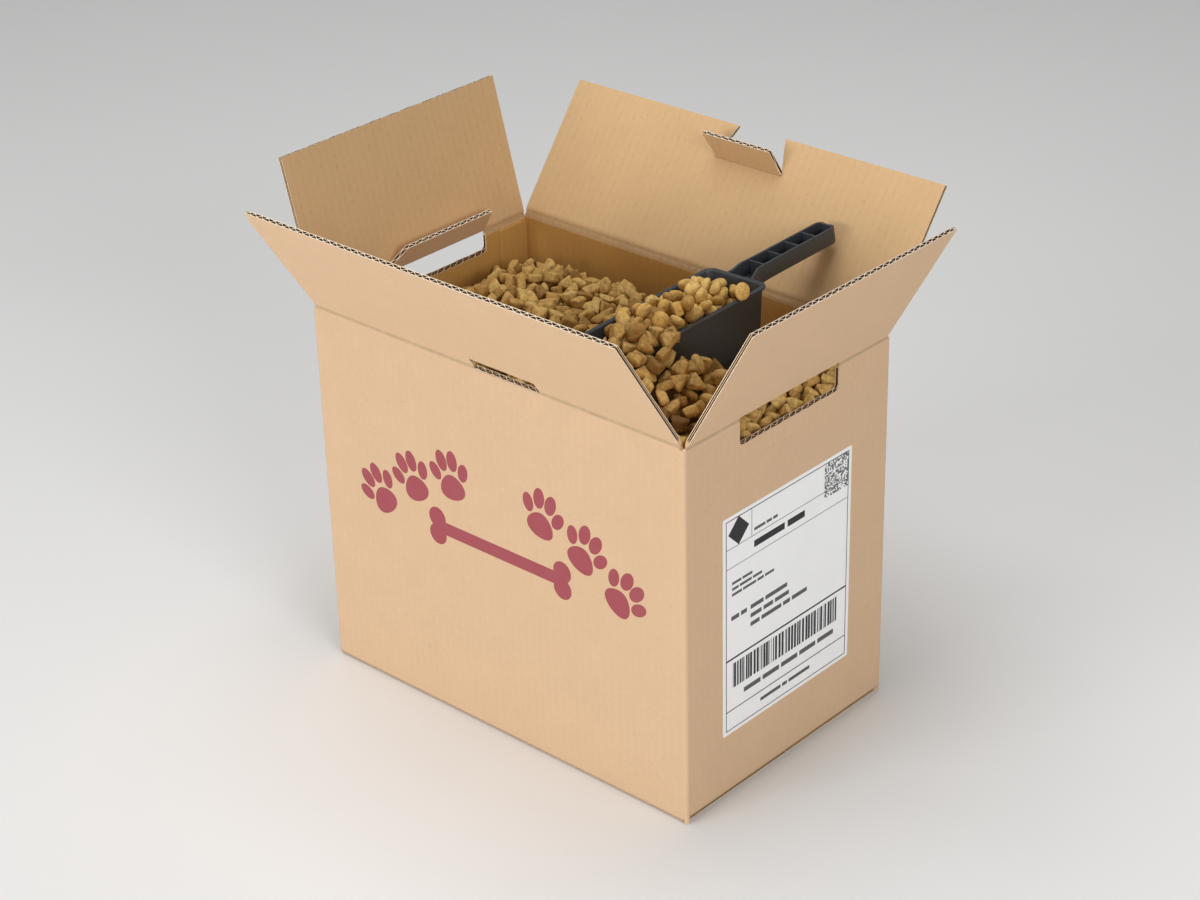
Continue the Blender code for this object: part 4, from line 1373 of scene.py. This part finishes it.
def container():
    """Meshes of all that the kibble settles in, each with the way it is collided with."""
    thick = 30 * MM
    x0, y0 = HALF_X - BOARD, HALF_Y - BOARD
    x1, y1 = HALF_X + thick, HALF_Y + thick
    low, high = 100 * MM, HEIGHT + 90 * MM
    blocks = (
        ((-x1, -y1, low), (-x0, y1, high)),
        ((x0, -y1, low), (x1, y1, high)),
        ((-x1, -y1, low), (x1, -y0, high)),
        ((-x1, y0, low), (x1, y1, high)),
        ((-x0, y0 - SEAM_TAB, low), (-x0 + BOARD, y0, SIDE_HEIGHT - SEAM_TAB_DROP)),
    )
    scoop = frame["nodes"]["scoop"].data.copy()
    scoop.transform(Matrix.Scale(SETTLE_SCALE, 4))
    walls = [(box_mesh(f"wall_{number}", *corners), "CONVEX_HULL") for number, corners in enumerate(blocks)]
    return [(heap_floor_mesh(), "MESH"), *walls, (scoop, "MESH"), (load_floor_mesh(), "MESH")]


def settle(kinds):
    """Drops every kind's pieces and reads back where they come to rest."""
    scene = bpy.context.scene
    bpy.ops.rigidbody.world_add()
    world = scene.rigidbody_world
    solids = bpy.data.collections.new("settling")
    assign(world, collection=solids, substeps_per_frame=2, solver_iterations=6)
    assign(world.point_cache, frame_start=1, frame_end=SETTLE_FRAMES + 1)
    for mesh, shape in container():
        add_body(solids, bpy.data.objects.new("container", mesh), type="PASSIVE", collision_shape=shape)
    loose = {
        "mass": 1,
        "linear_damping": 0.6,
        "angular_damping": 0.9,
        "use_deactivation": True,
        "deactivate_linear_velocity": 0.35,
        "deactivate_angular_velocity": 0.6,
    }
    dropped = []
    for kind in kinds:
        meshes = [kind.hull(i, SETTLE_SCALE) for i in range(len(kind.shapes))]
        for place in kind.places:
            obj = bpy.data.objects.new("dropped", meshes[place["shape"]])
            obj.location = Vector(place["at"]) * SETTLE_SCALE
            obj.rotation_mode = "QUATERNION"
            obj.rotation_quaternion = place["turn"]
            obj.scale = (place["size"],) * 3
            add_body(solids, obj, type="ACTIVE", collision_shape="CONVEX_HULL", **loose)
            dropped.append((obj, place))
    for number in range(1, SETTLE_FRAMES + 1):
        scene.frame_set(number)
    graph = bpy.context.evaluated_depsgraph_get()
    for obj, place in dropped:
        matrix = obj.evaluated_get(graph).matrix_world
        place["at"] = tuple(matrix.translation / SETTLE_SCALE)
        place["turn"] = matrix.to_quaternion()
    bpy.ops.rigidbody.world_remove()
    for obj in list(solids.objects):
        bpy.data.objects.remove(obj, do_unlink=True)
    bpy.data.collections.remove(solids)
    scene.frame_set(1)


def flap_room(points):
    """Height that each point of kibble stays under, to clear the left flap shut and the right one folded."""
    x, y = points[:, 0], points[:, 1]
    inward = HALF_X - x
    under = SIDE_HEIGHT + inward / math.tan(RIGHT_FLAP_IN) - (BOARD + 0.8 * MM) / math.sin(RIGHT_FLAP_IN)
    by_hole = (y > RIGHT_HOLE[0] - 2 * MM) & (y < RIGHT_HOLE[1] + 2 * MM)
    by_tab = by_hole & (inward < HAND_TAB_LENGTH + 5 * MM)
    under = np.where(by_tab, np.minimum(under, SIDE_HEIGHT - BOARD), under)
    return np.where(x < LEFT_FLAP_OVER, SIDE_HEIGHT - FLAP_CLEARANCE, under)


def keep_in_bowl(kind, place):
    """Moves a piece that pokes through a side wall of the scoop back inside."""
    rim = scoop_matrix()
    local = moved(rim.inverted(), kind.points(place, False))
    low = local[local[:, 2] < -1 * MM]
    if not len(low):
        return
    half = RIM_HALF - RIM_FLANGE - BOWL_WALL - BOWL_DRAFT * -low[:, 2]
    right = max((low[:, 0] - half).max(), 0)
    left = max((-low[:, 0] - half).max(), 0)
    place["at"] = tuple(Vector(place["at"]) + rim.to_3x3() @ Vector((left - right, 0, 0)))


def bed_level(solid, x, y):
    """Height of the bed under the loose layers, which rises with the drift before the scoop and beside it."""
    plain = surface_under(solid, x, y) - BED_DEPTH
    local = scoop_matrix().inverted() @ Vector((x, y, HEIGHT))
    margin = 3 * MM
    if abs(local.x) < RIM_HALF + margin and local.y > -BOWL_LENGTH - margin:
        return plain
    return max(plain, heap_top(solid, x, y) - HEAP_DEPTH - BED_GAP)


def make_bed(solid, material):
    """A bed under the loose layers, which closes the gaps between them. It stands for the kibble deeper down
    and, having no tone, takes the kibble's dark colour: painted shade between the pieces.
    """
    shape = Shape()
    inside = (HALF_X - BOARD - 0.4 * MM, HALF_Y - BOARD - 0.4 * MM)
    xs = np.linspace(-inside[0], inside[0], 60)
    ys = np.linspace(-inside[1], inside[1], 38)
    top = np.array([[bed_level(solid, x, y) for y in ys] for x in xs])
    along, across = np.meshgrid(xs, ys, indexing="ij")
    foot = np.full_like(top, 10 * MM)
    faces = [np.stack([along, across, level], axis=-1) for level in (top, foot)]
    shape.slab(*faces, (0, 0, 0))
    bed = shape.make("kibble_bed_painted_shade", [material], smooth=60)
    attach(bed, "carton")


def make_food():
    rng = np.random.default_rng(23)
    heap = Kibble(seed=5, nuggets=14, pellets=5)
    load = Kibble(seed=8, nuggets=3, pellets=12)
    heap.fill(heap_spots(rng), rng, KIBBLE, lambda x: 0.14 if x > 60 * MM else 0.06)
    load.fill(load_spots(rng), rng, LOAD_KIBBLE, lambda x: 0.9)
    settle((heap, load))
    solid = node_tree("food_fill")
    kept = []
    for place in heap.places:
        x, y, z = place["at"]
        points = heap.points(place, True)
        over = (points[:, 2] - flap_room(points)).max()
        if over > 0:
            place["at"] = (x, y, z - over)
        place["fine"] = z > heap_top(solid, x, y) - 0.95 * KIBBLE
        if z > FALLEN:
            kept.append(place)
    # Each kibble's first colour is its darkest tone and its painted shade, and its last is its palest tone
    # and its painted highlight; the bed takes mostly the first.
    brown = make_kibble("box_kibble", srgb(80, 50, 18), srgb(186, 138, 68), srgb(228, 190, 114))
    golden = make_kibble("scoop_kibble", srgb(122, 84, 34), srgb(226, 176, 92), srgb(246, 210, 130))
    for number, (low, high) in enumerate(zip(PIECE_BANDS, PIECE_BANDS[1:])):
        places = [place for place in kept if low <= place["at"][0] < high]
        piece = heap.make_piece(f"box_kibble_{number + 1}", places, brown, lambda place: place["fine"])
        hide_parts("food_fill")
    rim = scoop_matrix().inverted()

    def height(place):
        return (rim @ Vector(place["at"])).z

    in_sight = -14 * MM  # pieces lower in the bowl than this get the coarse mesh
    for place in load.places:
        keep_in_bowl(load, place)
    places = [place for place in load.places if height(place) > -BOWL_DEPTH - 5 * MM]
    piece = load.make_piece("scoop_kibble", places, golden, lambda place: height(place) > in_sight)
    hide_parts("scoop_food")
    make_bed(solid, brown)


# Studio


def make_floor():
    nodes = Surface("studio_floor", 0.9, 0.2)
    place = nodes.add("ShaderNodeTexCoord").outputs["Object"]
    tint = nodes.mix(nodes.noise(place, 3.0, 2), (0.88, 0.88, 0.875, 1), (0.91, 0.91, 0.905, 1))
    bm = bmesh.new()
    bmesh.ops.create_grid(bm, x_segments=8, y_segments=8, size=30)
    mesh = mesh_from("studio_floor", bm)
    mesh.materials.append(nodes.finish(tint))
    floor = add_object("studio_floor", mesh)
    floor.location.z = -0.5 * MM


def add_light(name, place, aim, size, power):
    lamp = bpy.data.lights.new(name, "AREA")
    assign(lamp, shape="RECTANGLE", size=size[0], size_y=size[1], energy=power)
    obj = add_object(name, lamp)
    obj.location = place
    obj.rotation_euler = (Vector(aim) - Vector(place)).to_track_quat("-Z", "Y").to_euler()


def make_lights():
    world = bpy.data.worlds.new("studio")
    world.use_nodes = True
    nodes = Nodes(world.node_tree)
    background = nodes.tree.nodes["Background"]
    background.inputs["Color"].default_value = (1, 1, 1, 1)
    path = nodes.add("ShaderNodeLightPath").outputs
    seen = nodes.math("MAXIMUM", path["Is Camera Ray"], path["Is Transmission Ray"])
    nodes.tree.links.new(nodes.spread(seen, 0, 1, 0.24, 0.95), background.inputs["Strength"])
    bpy.context.scene.world = world
    add_light("key", (-0.5, -2.9, 0.8), (0, 0, 0.16), (1.5, 1.1), 44)
    add_light("fill", (2.75, -1.0, 1.35), (0, 0, 0.2), (1.5, 1.1), 34)
    add_light("top", (-0.3, -0.1, 2.6), (0, 0, 0.2), (1.7, 1.7), 28)


def make_camera():
    camera = bpy.data.cameras.new("camera")
    assign(camera, lens=CAMERA_LENS, sensor_width=36, clip_start=0.05)
    obj = add_object("camera", camera)
    right, up = Vector(CAMERA_RIGHT), Vector(CAMERA_UP)
    turn = Matrix((right, up, right.cross(up))).transposed()
    obj.matrix_world = Matrix.Translation(CAMERA_PLACE) @ turn.to_4x4()
    bpy.context.scene.camera = obj


bpy.context.scene.view_settings.view_transform = "Standard"
make_camera()
make_walls()
make_creases()
make_flaps()
make_front_print()
make_label()
make_scoop()
make_food()
make_floor()
make_lights()
